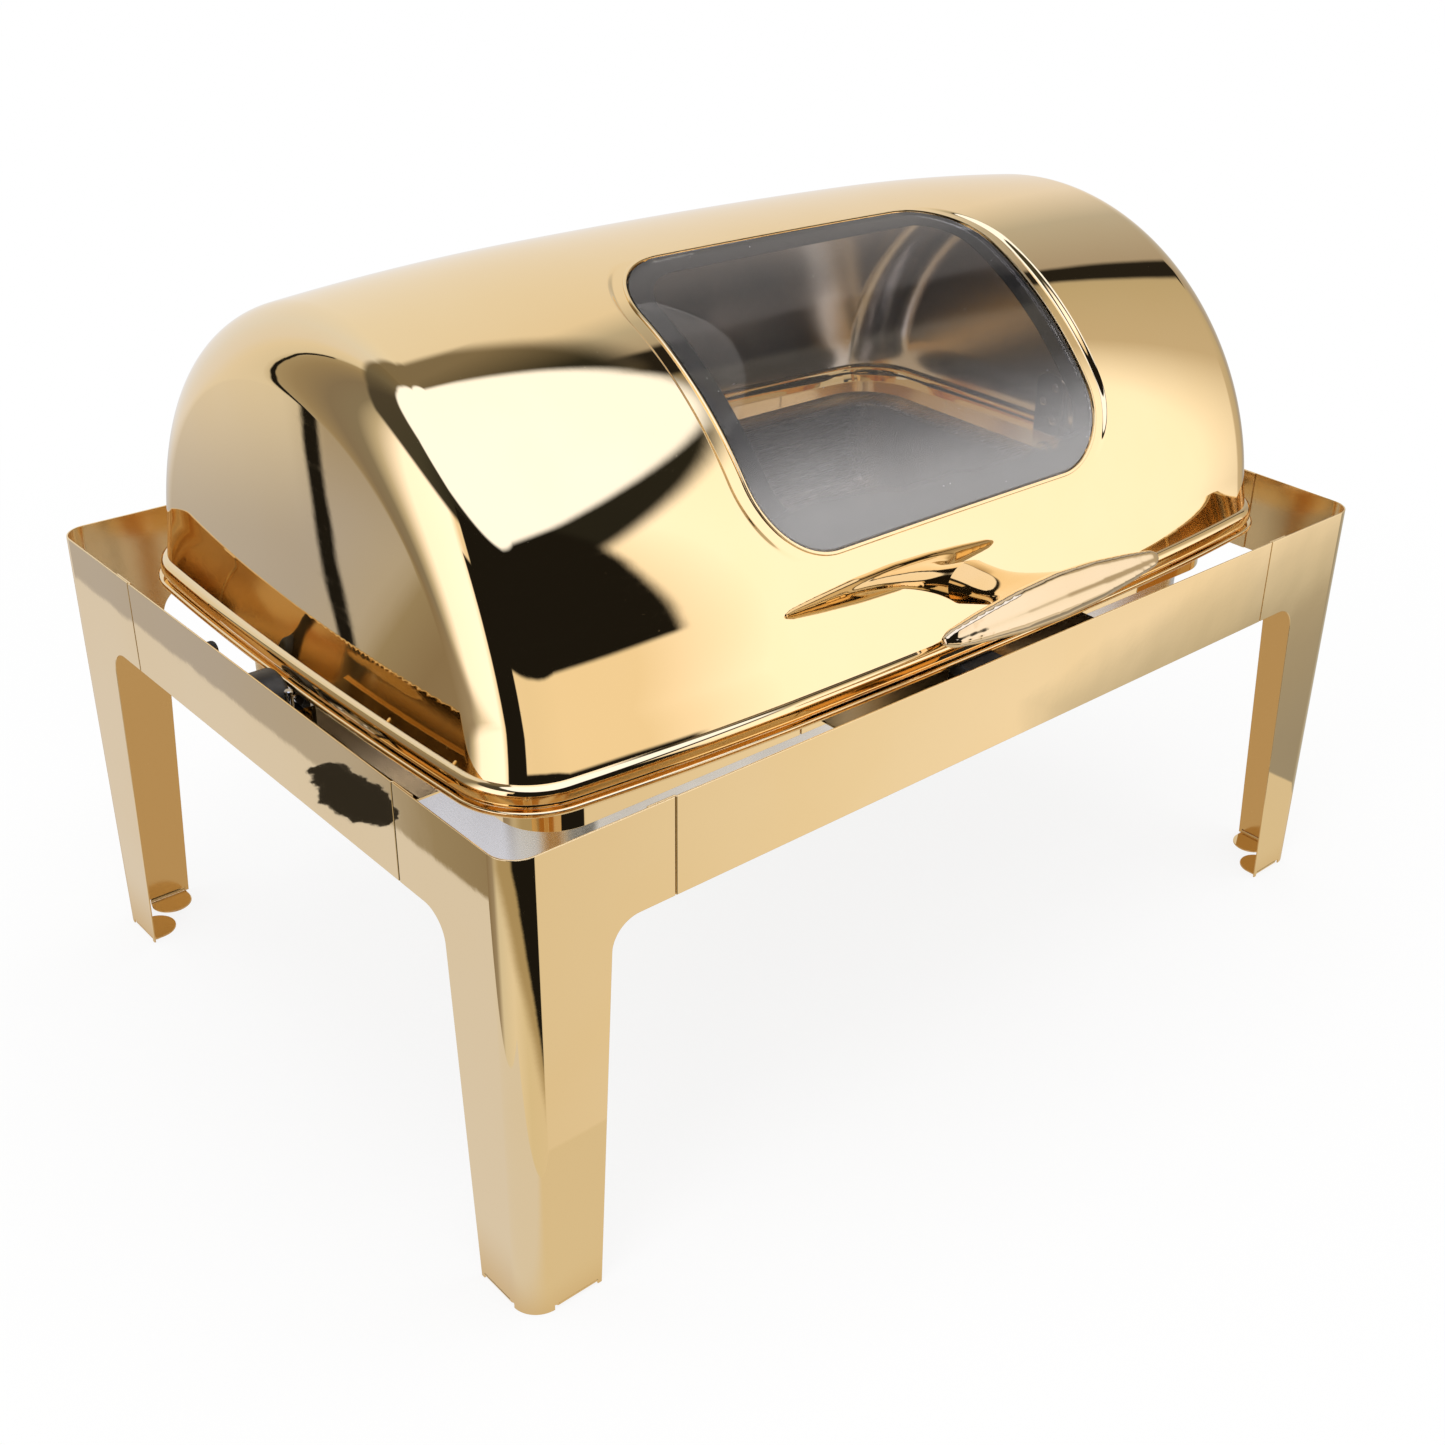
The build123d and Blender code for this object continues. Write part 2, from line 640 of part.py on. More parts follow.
BAR_STATIONS = (              # along X: half depth, half height
    (0.0, 11.0, 13.0),
    (30.0, 10.4, 11.5),
    (58.0, 8.0, 8.0),
    (78.0, 5.4, 4.8),
    (HANDLE_HALF_LENGTH, 2.4, 2.2),
)
NECK_STATIONS = (             # back from the bar to the lid: y, z, half length, half height
    (HANDLE_Y + 1, HANDLE_Z + 1, 52.0, 8.0),
    (-239.0, 305.5, 34.0, 7.6),
    (-225.0, 301.0, 19.0, 8.0),
    (-206.0, 295.0, 16.0, 9.5),
    (BARREL_Y - BARREL_RADIUS + 12, HANDLE_FOOT_Z, 18.0, 12.0),
)


def handle():
    """Tapered bar along X, on a neck that spreads into the bar like a wing."""
    mirrored = [(-x, depth, height) for x, depth, height in reversed(BAR_STATIONS[1:])]
    sections = []
    for x, depth, height in mirrored + list(BAR_STATIONS):
        plane = Plane((x, HANDLE_Y, HANDLE_Z), x_dir=(0, 1, 0), z_dir=(1, 0, 0))
        sections.append(plane * Ellipse(depth, height))
    bar = loft(sections)
    neck_sections = []
    for y, z, half_length, half_height in NECK_STATIONS:
        plane = Plane((0, y, z), x_dir=(1, 0, 0), z_dir=(0, -1, 0))
        neck_sections.append(plane * Ellipse(half_length, half_height))
    body = bar + loft(neck_sections)
    body -= barrel(BARREL_RADIUS)
    for hole in handle_screw_holes():
        body -= hole
    return body


def handle_screws():
    """Screws into the handle's neck, with their heads inside the lid."""
    height = HANDLE_FOOT_Z - BARREL_Z
    wall_y = BARREL_Y - sqrt((BARREL_RADIUS - LID_SHEET) ** 2 - height**2)
    screws = []
    for x in (-HANDLE_SCREW_X, HANDLE_SCREW_X):
        head = Pos(x, wall_y + 0.9, HANDLE_FOOT_Z) * Rot(-90, 0, 0) * dome(4.5, 2.8)
        shank = Pos(x, wall_y - 6.0, HANDLE_FOOT_Z) * Rot(90, 0, 0) * Cylinder(2.5, 14.0)
        screws.append(head + shank)
    return Compound(screws)


ARM_TOP = 300.0
ARM_HALF_WIDTH = 12.0
BUSH_RADIUS = 4.5
BUSH_FLANGE = 7.0


def hinge_arm():
    """Arm from the pivot up the inside of the lid's end wall, shaped to fit against it."""
    lower = rod(ARM_HALF_WIDTH, ARM_X0, ARM_X1, PIVOT_Y, PIVOT_Z)
    shank = block(
        ARM_X0, ARM_X1, PIVOT_Y - ARM_HALF_WIDTH, PIVOT_Y + ARM_HALF_WIDTH, PIVOT_Z, ARM_TOP
    )
    top_edges = shank.edges().filter_by(Axis.X).group_by(Axis.Z)[-1]
    shank = fillet(top_edges, 8.0)
    arm = (shank + lower) & lid_body(LID_SHEET)
    return arm - rod(BUSH_RADIUS, ARM_X0 - 1, ARM_X1 + 1, PIVOT_Y, PIVOT_Z)


def pivot_bush():
    """Nylon bush in the arm, with a flange on each face."""
    bore = PIN_RADIUS + 0.05
    body = tube(BUSH_RADIUS, bore, ARM_X0, ARM_X1, PIVOT_Y, PIVOT_Z)
    body += tube(BUSH_FLANGE, bore, ARM_X1, ARM_X1 + FLANGE_SHEET, PIVOT_Y, PIVOT_Z)
    return body + tube(BUSH_FLANGE, bore, ARM_X0 - FLANGE_SHEET, ARM_X0, PIVOT_Y, PIVOT_Z)


ARM_RIVETS = ((-5.0, 268.0), (5.0, 280.0), (-5.0, 292.0))    # from the pivot's y, and z


def arm_rivets():
    rivets = []
    for y, z in ARM_RIVETS:
        head = Pos(ARM_X1, PIVOT_Y + y, z) * Rot(0, 90, 0) * dome(3.2, 1.6)
        rivets.append(head)
    return Compound(both_sides(rivets))


def build_lid():
    write("lid_shell", lid_shell())
    write("window_glass", window_glass())
    write("window_seal", window_seal())
    write("window_trim", window_trim())
    write("handle", handle())
    write("handle_screws", handle_screws())
    for name, side in SIDES.items():
        write(f"hinge_arm_{name}", on_side(hinge_arm(), side))
        write(f"pivot_bush_{name}", on_side(pivot_bush(), side))
    write("arm_rivets", arm_rivets())


os.makedirs("parts", exist_ok=True)
build_stand()
build_well()
build_pivots()
build_pans()
build_lid()
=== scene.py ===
import math

import bmesh
import bpy
import numpy as np
from mathutils import Matrix, Vector

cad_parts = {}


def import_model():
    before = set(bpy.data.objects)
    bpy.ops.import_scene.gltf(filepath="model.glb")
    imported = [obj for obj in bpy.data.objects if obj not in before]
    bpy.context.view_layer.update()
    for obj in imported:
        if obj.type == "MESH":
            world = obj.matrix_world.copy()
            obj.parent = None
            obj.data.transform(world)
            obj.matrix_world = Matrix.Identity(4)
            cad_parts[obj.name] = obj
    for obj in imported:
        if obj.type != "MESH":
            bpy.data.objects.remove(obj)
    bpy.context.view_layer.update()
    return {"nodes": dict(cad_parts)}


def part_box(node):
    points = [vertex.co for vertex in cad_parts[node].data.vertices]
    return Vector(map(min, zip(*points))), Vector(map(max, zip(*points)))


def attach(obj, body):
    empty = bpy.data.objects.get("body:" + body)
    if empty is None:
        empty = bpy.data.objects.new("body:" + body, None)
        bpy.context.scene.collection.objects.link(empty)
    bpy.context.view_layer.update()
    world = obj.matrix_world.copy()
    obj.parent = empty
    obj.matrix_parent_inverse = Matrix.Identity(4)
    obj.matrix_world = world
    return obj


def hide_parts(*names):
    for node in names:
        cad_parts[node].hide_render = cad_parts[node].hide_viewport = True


# Looks of the roll top chafer.  The helpers below work in millimetres about the centre of the
# stand, as the CAD source does; world() turns such points into the frame's metres.
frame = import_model()

MM = 0.001
STAND_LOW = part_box("leg_front_left")[0]
STAND_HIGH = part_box("leg_rear_right")[1]
STAND_LENGTH = (STAND_HIGH.x - STAND_LOW.x) / MM
STAND_DEPTH = (STAND_HIGH.y - STAND_LOW.y) / MM
STAND_TOP = STAND_HIGH.z / MM
ORIGIN_Y = (STAND_LOW.y + STAND_HIGH.y) / 2 / MM

APRON_HEIGHT = 54.0
STAND_SHEET = 1.0
CORNER_RADIUS = 15.0
STUB_REACH = 91.0
LEG_TOP_WIDTH = 55.0
LEG_FOOT_WIDTH = 43.0
LEG_FILLET = 16.0
TAB_WIDTH = 25.0
TAB_FAR = 40.5              # where the tab ends along the wing; it starts TAB_WIDTH before that
TAB_NOTCH = 3.0
APRON_LAP = 15.0            # how far an apron's ends reach behind the stubs

LID_SHEET = 0.8
LID_LOW, LID_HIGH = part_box("lid_shell")
BARREL_Y = 1.0
BARREL_Z = 260.0
BARREL_RADIUS = LID_HIGH.z / MM - BARREL_Z - 0.02     # within the facets of the CAD skin
CROWN_MIDDLE = 120.0
CROWN_MIDDLE_RADIUS = 6000.0
CROWN_END_RADIUS = 1650.0
LID_HALF_LENGTH = 295.5
LID_END_BULGE = 6.0
LID_END_FILLET = 36.0
RIM_BOTTOM = LID_LOW.z / MM
RIM_SHOULDER = 14.6         # top of the rim, and the skin's lower edge in it, above RIM_BOTTOM
SKIN_FOOT = 14.2
FLARE_START = 288.0         # height where the skin begins to lean outward, and by how much
FLARE_END_RISE = 7.0
FLARE_REACH = 1.6
FLARE_LEAN, FLARE_MORE_LEAN = 11.0, 8.0

WINDOW = np.array([128.5, 93.0, 42.0])      # half length, half chord, corner radius
WINDOW_TILT = math.radians(51.5)
WINDOW_SINK = 3.0
SEAT = WINDOW + (11.0, 6.0, 8.0)
SEAT_RADIUS = 215.0
SEAT_DROP = SEAT_RADIUS - (BARREL_RADIUS - WINDOW_SINK)
STEP_HALF_WIDTH = 1.7

HANDLE_Y = -248.0
HANDLE_Z = 307.0
HANDLE_HALF_LENGTH = 84.0
HANDLE_FOOT_Z = 291.0


# ---- mesh helpers -------------------------------------------------------------------------
def world(points):
    """Points in stand-centred millimetres, as metres in the frame."""
    out = np.array(points, dtype=float).reshape(-1, 3)
    out[:, 1] += ORIGIN_Y
    return out * MM


def link(name, data):
    obj = bpy.data.objects.new(name, data)
    bpy.context.scene.collection.objects.link(obj)
    return obj


def new_piece(name, points, faces):
    mesh = bpy.data.meshes.new(name)
    mesh.from_pydata(world(points).tolist(), [], faces)
    mesh.validate()
    return link(name, mesh)


def set_smooth(obj, sharp_degrees):
    """Smooth shading, with every edge that turns by more than the angle kept sharp."""
    limit = math.radians(sharp_degrees)
    bm = bmesh.new()
    bm.from_mesh(obj.data)
    for face in bm.faces:
        face.smooth = True
    for edge in bm.edges:
        edge.smooth = len(edge.link_faces) == 2 and edge.calc_face_angle(0.0) < limit
    bm.to_mesh(obj.data)
    bm.free()
    return obj


def set_normals(obj, normals):
    """Exact normals for a surface that is known in closed form."""
    obj.data.shade_smooth()
    obj.data.normals_split_custom_set_from_vertices([tuple(n) for n in normals])
    return obj


def bake_modifiers(obj):
    """Replaces an object's mesh by the result of its modifiers."""
    graph = bpy.context.evaluated_depsgraph_get()
    baked = bpy.data.meshes.new_from_object(obj.evaluated_get(graph))
    old = obj.data
    obj.modifiers.clear()
    obj.data = baked
    bpy.data.meshes.remove(old)
    baked.name = obj.name
    return obj


def weigh_normals(obj):
    """Keeps large faces flat to the eye: the small rounded edges take up the turn."""
    weigh = obj.modifiers.new("weigh", "WEIGHTED_NORMAL")
    weigh.mode = "FACE_AREA"
    weigh.weight = 90
    weigh.keep_sharp = True
    return bake_modifiers(obj)


def plate(name, points, faces, thickness, side=-1.0, bevel=0.3):
    """An open sheet of faces as a plate with small rounded edges."""
    obj = new_piece(name, points, faces)
    solid = obj.modifiers.new("sheet", "SOLIDIFY")
    solid.thickness = thickness * MM
    solid.offset = side
    solid.use_even_offset = True
    soft = obj.modifiers.new("edges", "BEVEL")
    soft.width = bevel * MM
    soft.segments = 2
    soft.limit_method = "ANGLE"
    soft.angle_limit = math.radians(40)
    return weigh_normals(set_smooth(bake_modifiers(obj), 50))


def strip_plate(name, path, low, high, thickness):
    """An upright strip along a plan path, as a plate."""
    points = [(x, y, z) for x, y in path for z in (low, high)]
    faces = [(i, i + 2, i + 3, i + 1) for i in range(0, 2 * len(path) - 2, 2)]
    return plate(name, points, faces, thickness)


def grid_faces(rows, columns, closed=False, flip=False):
    """Quads of a grid of rows x columns vertices, numbered row by row."""
    faces = []
    for i in range(rows - 1):
        for j in range(columns if closed else columns - 1):
            a = i * columns + j
            b = i * columns + (j + 1) % columns
            quad = (a, b, b + columns, a + columns)
            faces.append(quad[::-1] if flip else quad)
    return faces


def joined(*parts):
    """Several parts, each of one or more arrays and a list of faces, as one."""
    faces, start = [], 0
    for *arrays, own_faces in parts:
        faces += [tuple(start + i for i in face) for face in own_faces]
        start += len(arrays[0])
    columns = zip(*(part[:-1] for part in parts))
    return (*(np.concatenate(column) for column in columns), faces)


def swept(name, loops, sharp_degrees):
    """A skin through a stack of closed loops."""
    faces = grid_faces(len(loops), len(loops[0]), closed=True, flip=True)
    return set_smooth(new_piece(name, np.concatenate(loops), faces), sharp_degrees)


def finish_piece(obj, body, slot, *nodes, look=None):
    """Gives a piece its material and body, and hides the CAD nodes that it replaces."""
    obj.data.materials.clear()
    obj.data.materials.append(LOOKS[look or slot])
    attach(obj, body)
    if nodes:
        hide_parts(*nodes)


# ---- plan shapes --------------------------------------------------------------------------
BLOCK_COUNT = (96, 64)      # vertices along the length and the height of the window's loops


def rounded_rectangle(half_x, half_y, radius):
    """Closed loop, anticlockwise from the front left corner, with BLOCK_COUNT vertices a side.

    A side runs from the middle of one corner to the middle of the next, by arc length, so
    loops of different sizes and corner radii line up vertex by vertex."""
    radius = min(radius, half_x, half_y)
    bend = radius * math.pi / 4
    loop = []
    for quarter in range(4):
        along, out = (half_y, half_x) if quarter % 2 else (half_x, half_y)
        cos_t, sin_t = ((1, 0), (0, 1), (-1, 0), (0, -1))[quarter]
        count = BLOCK_COUNT[quarter % 2]
        straight = along - radius
        total = 2 * (straight + bend)
        for k in range(count):
            s = total * k / count - total / 2
            if abs(s) <= straight or bend == 0:
                x, y = s, -out
            else:
                angle = (abs(s) - straight) / radius
                x = math.copysign(straight + radius * math.sin(angle), s)
                y = -out + radius * (1 - math.cos(angle))
            loop.append((x * cos_t - y * sin_t, x * sin_t + y * cos_t))
    return np.array(loop)


def arc(centre, radius, start, stop, steps):
    angles = np.radians(np.linspace(start, stop, steps + 1))
    return [(centre[0] + radius * math.cos(a), centre[1] + radius * math.sin(a)) for a in angles]


def rounded_path(length, depth, radius, corner_steps=16):
    """Closed plan loop with flat sides, anticlockwise from the front right corner."""
    x, y = length / 2 - radius, depth / 2 - radius
    points = []
    for corner, start in (((x, -y), -90), ((x, y), 0), ((-x, y), 90), ((-x, -y), 180)):
        points += arc(corner, radius, start, start + 90, corner_steps)
    return points


# ---- materials ----------------------------------------------------------------------------
LOOKS = {}


class Nodes:
    """A small wrapper that adds and joins shader nodes."""

    def __init__(self, tree):
        self.tree = tree
        tree.nodes.clear()

    def add(self, kind, inputs=None, **settings):
        """A new node; each input is a number or a colour, or another node's socket."""
        node = self.tree.nodes.new("ShaderNode" + kind)
        for key, value in settings.items():
            setattr(node, key, value)
        for key, value in (inputs or {}).items():
            if isinstance(value, bpy.types.NodeSocket):
                self.tree.links.new(value, node.inputs[key])
            else:
                node.inputs[key].default_value = value
        return node

    def math(self, operation, first, second=0.0, third=0.0):
        return self.add("Math", {0: first, 1: second, 2: third}, operation=operation).outputs[0]

    def product(self, *factors):
        result = factors[0]
        for factor in factors[1:]:
            result = self.math("MULTIPLY", result, factor)
        return result

    def vector(self, operation, first, second=(0.0, 0.0, 0.0)):
        node = self.add("VectorMath", {0: first, 1: second}, operation=operation)
        return node.outputs["Value" if operation in ("LENGTH", "DOT_PRODUCT") else "Vector"]

    def ramp(self, value, low, high, out_low=0.0, out_high=1.0, shape="SMOOTHSTEP"):
        """Carries low..high to out_low..out_high, and holds the value beyond both ends."""
        node = self.add("MapRange", {"Value": value}, interpolation_type=shape)
        names = ("From Min", "From Max", "To Min", "To Max")
        for name, number in zip(names, (low, high, out_low, out_high)):
            node.inputs[name].default_value = number
        return node.outputs[0]

    def mix(self, factor, first, second):
        """Mixes two colours."""
        node = self.add("Mix", {"Factor": factor, "A": first, "B": second}, data_type="RGBA")
        return node.outputs["Result"]

    def blend(self, factor, first, second):
        """Mixes two shaders."""
        return self.add("MixShader", {0: factor, 1: first, 2: second}).outputs[0]

    def noise(self, coordinates, scale, detail=2.0, roughness=0.5):
        inputs = {"Vector": coordinates, "Scale": scale, "Detail": detail, "Roughness": roughness}
        return self.add("TexNoise", inputs).outputs["Fac"]

    def place(self, *stretch):
        """Object coordinates, stretched along the three axes where that is asked."""
        place = self.add("TexCoord").outputs["Object"]
        if stretch:
            place = self.add("Mapping", {"Vector": place, "Scale": stretch}).outputs[0]
        return place

    def bump(self, height, distance):
        inputs = {"Height": height, "Distance": distance * MM, "Strength": 1.0}
        return self.add("Bump", inputs).outputs[0]

    def shader(self, kind, **inputs):
        return self.add(kind, inputs).outputs[0]

    def principled(self, tint, roughness, bump, **plain):
        """A Principled shader; the plain inputs are named with _ for each space."""
        node = self.add(
            "BsdfPrincipled", {"Base Color": tint, "Roughness": roughness, "Normal": bump}
        )
        for name, value in plain.items():
            node.inputs[name.replace("_", " ")].default_value = value
        return node.outputs[0]

    def surface(self, shader, kind="OutputMaterial"):
        self.add(kind, {"Surface": shader})


def material(name):
    """A new material, kept in LOOKS under its name, with no nodes yet."""
    LOOKS[name] = bpy.data.materials.new(name)
    LOOKS[name].use_nodes = True
    return Nodes(LOOKS[name].node_tree)


def faces_inward(n, place):
    """1 on upright faces that look towards the middle of the object, 0 elsewhere."""
    normal = n.add("TexCoord").outputs["Normal"]
    level = n.vector("MULTIPLY", normal, (1.0, 1.0, 0.0))
    return n.ramp(n.vector("DOT_PRODUCT", level, place), -0.06, -0.03, 1.0, 0.0)


def polished_metal(name, colour, deep, rough, ripple, ripple_scale, satin_and_shaded_inside=False):
    """Mirror-polished plate: slight waviness of the sheet, wipe marks and a few fine specks.

    A bent plate can be left satin, as rolled, on the faces that look inward, where painted shade
    also darkens its colour to a browner gold."""
    n = material(name)
    place = n.place()
    tint = n.mix(n.ramp(n.noise(place, 9.0, 3.0), 0.35, 0.7), (*colour, 1), (*deep, 1))
    wiped = n.ramp(n.noise(n.place(1.0, 1.0, 14.0), 22.0, 4.0), 0.45, 0.8, 0.0, 0.02)
    specks = n.ramp(n.noise(place, 900.0, 1.0), 0.77, 0.82, 0.0, 0.12)
    roughness = n.math("ADD", n.math("ADD", rough, wiped), specks)
    if satin_and_shaded_inside:
        inside = faces_inward(n, place)
        roughness = n.math("MULTIPLY_ADD", inside, 0.15, roughness)
        # painted shade: faces that look inward get a darker, browner gold
        tint = n.mix(inside, tint, (0.80, 0.57, 0.29, 1))
    waves = n.noise(place, ripple_scale, 1.0, 0.4)
    peel = n.noise(place, ripple_scale * 9, 2.0, 0.5)
    bump = n.bump(n.math("MULTIPLY_ADD", peel, 0.05, waves), ripple)
    n.surface(n.principled(tint, roughness, bump, Metallic=1.0, IOR=1.5))


def brushed_steel(name, colour, rough):
    """Drawn pan steel: fine lengthwise lines and soft blotches in its shine."""
    n = material(name)
    lines = n.noise(n.place(6.0, 260.0, 260.0), 6.0, 3.0)
    blotch = n.ramp(n.noise(n.place(), 14.0, 3.0), 0.3, 0.7)
    tint = n.mix(blotch, (*colour, 1), (*[c * 0.82 for c in colour], 1))
    roughness = n.math("MULTIPLY_ADD", lines, 0.14, rough)
    n.surface(n.principled(tint, roughness, n.bump(lines, 0.004), Metallic=1.0))


def moulded(name, colour, light, rough, grain, grain_scale, gloss=0.5):
    """Rubber or nylon: mottled dark colour with a fine moulded grain."""
    n = material(name)
    place = n.place()
    mottle = n.ramp(n.noise(place, 120.0, 4.0, 0.6), 0.3, 0.75)
    tint = n.mix(mottle, (*colour, 1), (*light, 1))
    fine = n.noise(place, grain_scale, 3.0, 0.6)
    roughness = n.math("MULTIPLY_ADD", fine, 0.2, rough)
    n.surface(n.principled(tint, roughness, n.bump(fine, grain), Specular_IOR_Level=gloss))


def tinted_glass(name):
    """Grey pane with faint smears, a few specks of dust and dried steam towards its foot."""
    n = material(name)
    place = n.place()
    specks = n.ramp(n.noise(place, 520.0, 1.0), 0.80, 0.83)
    smear = n.ramp(n.noise(n.place(1.0, 3.0, 3.0), 16.0, 4.0), 0.5, 0.8, 0.0, 0.03)
    rough = n.math("MULTIPLY_ADD", specks, 0.4, smear)
    tint = n.mix(specks, (0.62, 0.59, 0.57, 1), (0.8, 0.79, 0.77, 1))
    bump = n.bump(n.noise(place, 12.0, 1.0), 0.012)
    body = n.principled(tint, rough, bump, IOR=1.42, Transmission_Weight=1.0)
    height = n.add("SeparateXYZ", {0: place}).outputs[2]
    cloud = n.math("MULTIPLY_ADD", n.noise(place, 9.0, 3.0), 0.03, height)
    steam = n.ramp(cloud, 0.352, 0.405, 0.28, 0.008)
    veil = n.shader("BsdfDiffuse", Color=(0.82, 0.81, 0.80, 1), Normal=bump)
    through = n.shader("BsdfTransparent", Color=(0.62, 0.61, 0.60, 1))
    shadow = n.add("LightPath").outputs["Is Shadow Ray"]
    n.surface(n.blend(shadow, n.blend(steam, body, veil), through))


def build_materials():
    gold = (0.95, 0.74, 0.42), (0.945, 0.725, 0.395)
    polished_metal("gold_lid", *gold, 0.012, 0.035, 24.0)
    polished_metal("lid_lining", (0.94, 0.88, 0.83), (0.90, 0.83, 0.76), 0.2, 0.005, 12.0)
    polished_metal("gold_stand", *gold, 0.018, 0.05, 30.0, satin_and_shaded_inside=True)
    polished_metal("gold_trim", *gold, 0.03, 0.01, 60.0)
    polished_metal("gold_handle", (0.80, 0.63, 0.40), (0.78, 0.60, 0.36), 0.05, 0.01, 60.0)
    polished_metal("bright_steel", (0.62, 0.61, 0.59), (0.5, 0.49, 0.47), 0.12, 0.01, 80.0)
    brushed_steel("pan_steel", (0.93, 0.92, 0.90), 0.2)
    moulded("black_rubber", (0.012, 0.012, 0.013), (0.025, 0.025, 0.026), 0.55, 0.02, 900.0)
    moulded("black_nylon", (0.02, 0.02, 0.021), (0.045, 0.045, 0.046), 0.3, 0.01, 1200.0)
    moulded("black_border", (0.003, 0.003, 0.004), (0.006, 0.006, 0.007), 0.5, 0.002, 600.0, 0.1)
    tinted_glass("tinted_glass")


# ---- lid skin -----------------------------------------------------------------------------
TURN = math.asin(CROWN_MIDDLE / CROWN_MIDDLE_RADIUS)
END_CENTRE = CROWN_MIDDLE - CROWN_END_RADIUS * math.sin(TURN)
END_HEIGHT = (
    CROWN_END_RADIUS * math.cos(TURN)
    + CROWN_MIDDLE_RADIUS
    - math.sqrt(CROWN_MIDDLE_RADIUS**2 - CROWN_MIDDLE**2)
)


def crown_sag(x):
    """How far the barrel's surface has fallen at a distance from its middle."""
    x = np.abs(x)
    near, far = np.minimum(x, CROWN_MIDDLE), np.maximum(x, CROWN_MIDDLE) - END_CENTRE
    inner = CROWN_MIDDLE_RADIUS - np.sqrt(CROWN_MIDDLE_RADIUS**2 - near**2)
    outer = END_HEIGHT - np.sqrt(CROWN_END_RADIUS**2 - far**2)
    return np.where(x <= CROWN_MIDDLE, inner, outer)


def crown_slope(x):
    size = np.abs(x)
    near, far = np.minimum(size, CROWN_MIDDLE), np.maximum(size, CROWN_MIDDLE) - END_CENTRE
    inner = size / np.sqrt(CROWN_MIDDLE_RADIUS**2 - near**2)
    outer = far / np.sqrt(CROWN_END_RADIUS**2 - far**2)
    return np.where(size <= CROWN_MIDDLE, inner, outer) * np.sign(x)


def end_geometry():
    """Where the barrel meets its end fillet, the fillet's centre, and the end wall's arc."""
    half = LID_HALF_LENGTH - LID_END_BULGE
    edge = BARREL_RADIUS - float(crown_sag(half))
    wall_radius = (edge**2 + LID_END_BULGE**2) / (2 * LID_END_BULGE)
    wall_x = LID_HALF_LENGTH - wall_radius
    x = np.linspace(200.0, half, 20001)
    slope = crown_slope(x)
    size = np.hypot(slope, 1)
    centre = np.stack([x - LID_END_FILLET * slope / size,
                       BARREL_RADIUS - crown_sag(x) - LID_END_FILLET / size], -1)
    miss = np.hypot(centre[:, 0] - wall_x, centre[:, 1]) - (wall_radius - LID_END_FILLET)
    best = np.argmin(np.abs(miss))
    return x[best], centre[best], wall_radius, wall_x


BARREL_END, FILLET_CENTRE, WALL_RADIUS, WALL_X = end_geometry()
FILLET_START = math.atan2(1.0, float(crown_slope(BARREL_END)))
FILLET_STOP = math.atan2(FILLET_CENTRE[1], FILLET_CENTRE[0] - WALL_X)


def end_profile(fillet_steps, wall_steps):
    """Points (x, radius) of the right end, from the barrel to the pole."""
    out = []
    for a in np.linspace(FILLET_START, FILLET_STOP, fillet_steps + 1):
        out.append(FILLET_CENTRE + LID_END_FILLET * np.array([math.cos(a), math.sin(a)]))
    for a in np.linspace(FILLET_STOP, 0.0, wall_steps + 1)[1:]:
        out.append((WALL_X + WALL_RADIUS * math.cos(a), WALL_RADIUS * math.sin(a)))
    return np.array(out)


def end_normal(x, radius):
    """Normals (along x, outward) of the rounded ends, at points on them."""
    from_centre = np.stack([np.abs(x) - FILLET_CENTRE[0], radius - FILLET_CENTRE[1]], -1)
    wall = np.stack([np.abs(x) - WALL_X, radius], -1)
    on_wall = np.arctan2(from_centre[:, 1], from_centre[:, 0]) < FILLET_STOP
    out = np.where(on_wall[:, None], wall, from_centre)
    out /= np.linalg.norm(out, axis=1, keepdims=True)
    out[:, 0] *= np.sign(x)
    return out


def seat_distance(x, v):
    """Signed distance from the outline of the window's seat, negative inside it."""
    half_x, half_v, corner = SEAT
    qx = np.abs(x) - (half_x - corner)
    qv = np.abs(v) - (half_v - corner)
    outside = np.hypot(np.maximum(qx, 0), np.maximum(qv, 0))
    return outside + np.minimum(np.maximum(qx, qv), 0) - corner


def skin_radius(x, phi):
    """Radius of the outer skin: the barrel, stepping down to the window's seat."""
    barrel = BARREL_RADIUS - crown_sag(x)
    seat_r = SEAT_RADIUS - crown_sag(x)
    seat = -SEAT_DROP * np.cos(phi) + np.sqrt(seat_r**2 - (SEAT_DROP * np.sin(phi)) ** 2)
    depth = np.maximum(barrel - seat, 0.0)
    reach = seat_distance(x, barrel * np.sin(phi))
    t = np.clip((reach + STEP_HALF_WIDTH) / (2 * STEP_HALF_WIDTH), 0, 1)
    shown = 1 - t * t * (3 - 2 * t)
    return barrel - depth * shown * (np.abs(phi) < 1.2)


def on_barrel(x, radius, phi):
    """Points at a radius from the barrel's axis; phi is measured from the window's middle."""
    angle = phi + WINDOW_TILT
    return np.stack([x, BARREL_Y - radius * np.cos(angle), BARREL_Z + radius * np.sin(angle)], -1)


def skin_point(x, phi):
    return on_barrel(x, skin_radius(x, phi), phi)


def skin_normal(x, phi):
    h = 0.02
    turn = h / BARREL_RADIUS
    across = skin_point(x + h, phi) - skin_point(x - h, phi)
    along = skin_point(x, phi + turn) - skin_point(x, phi - turn)
    out = np.cross(across, along)
    return out / np.linalg.norm(out, axis=-1, keepdims=True)


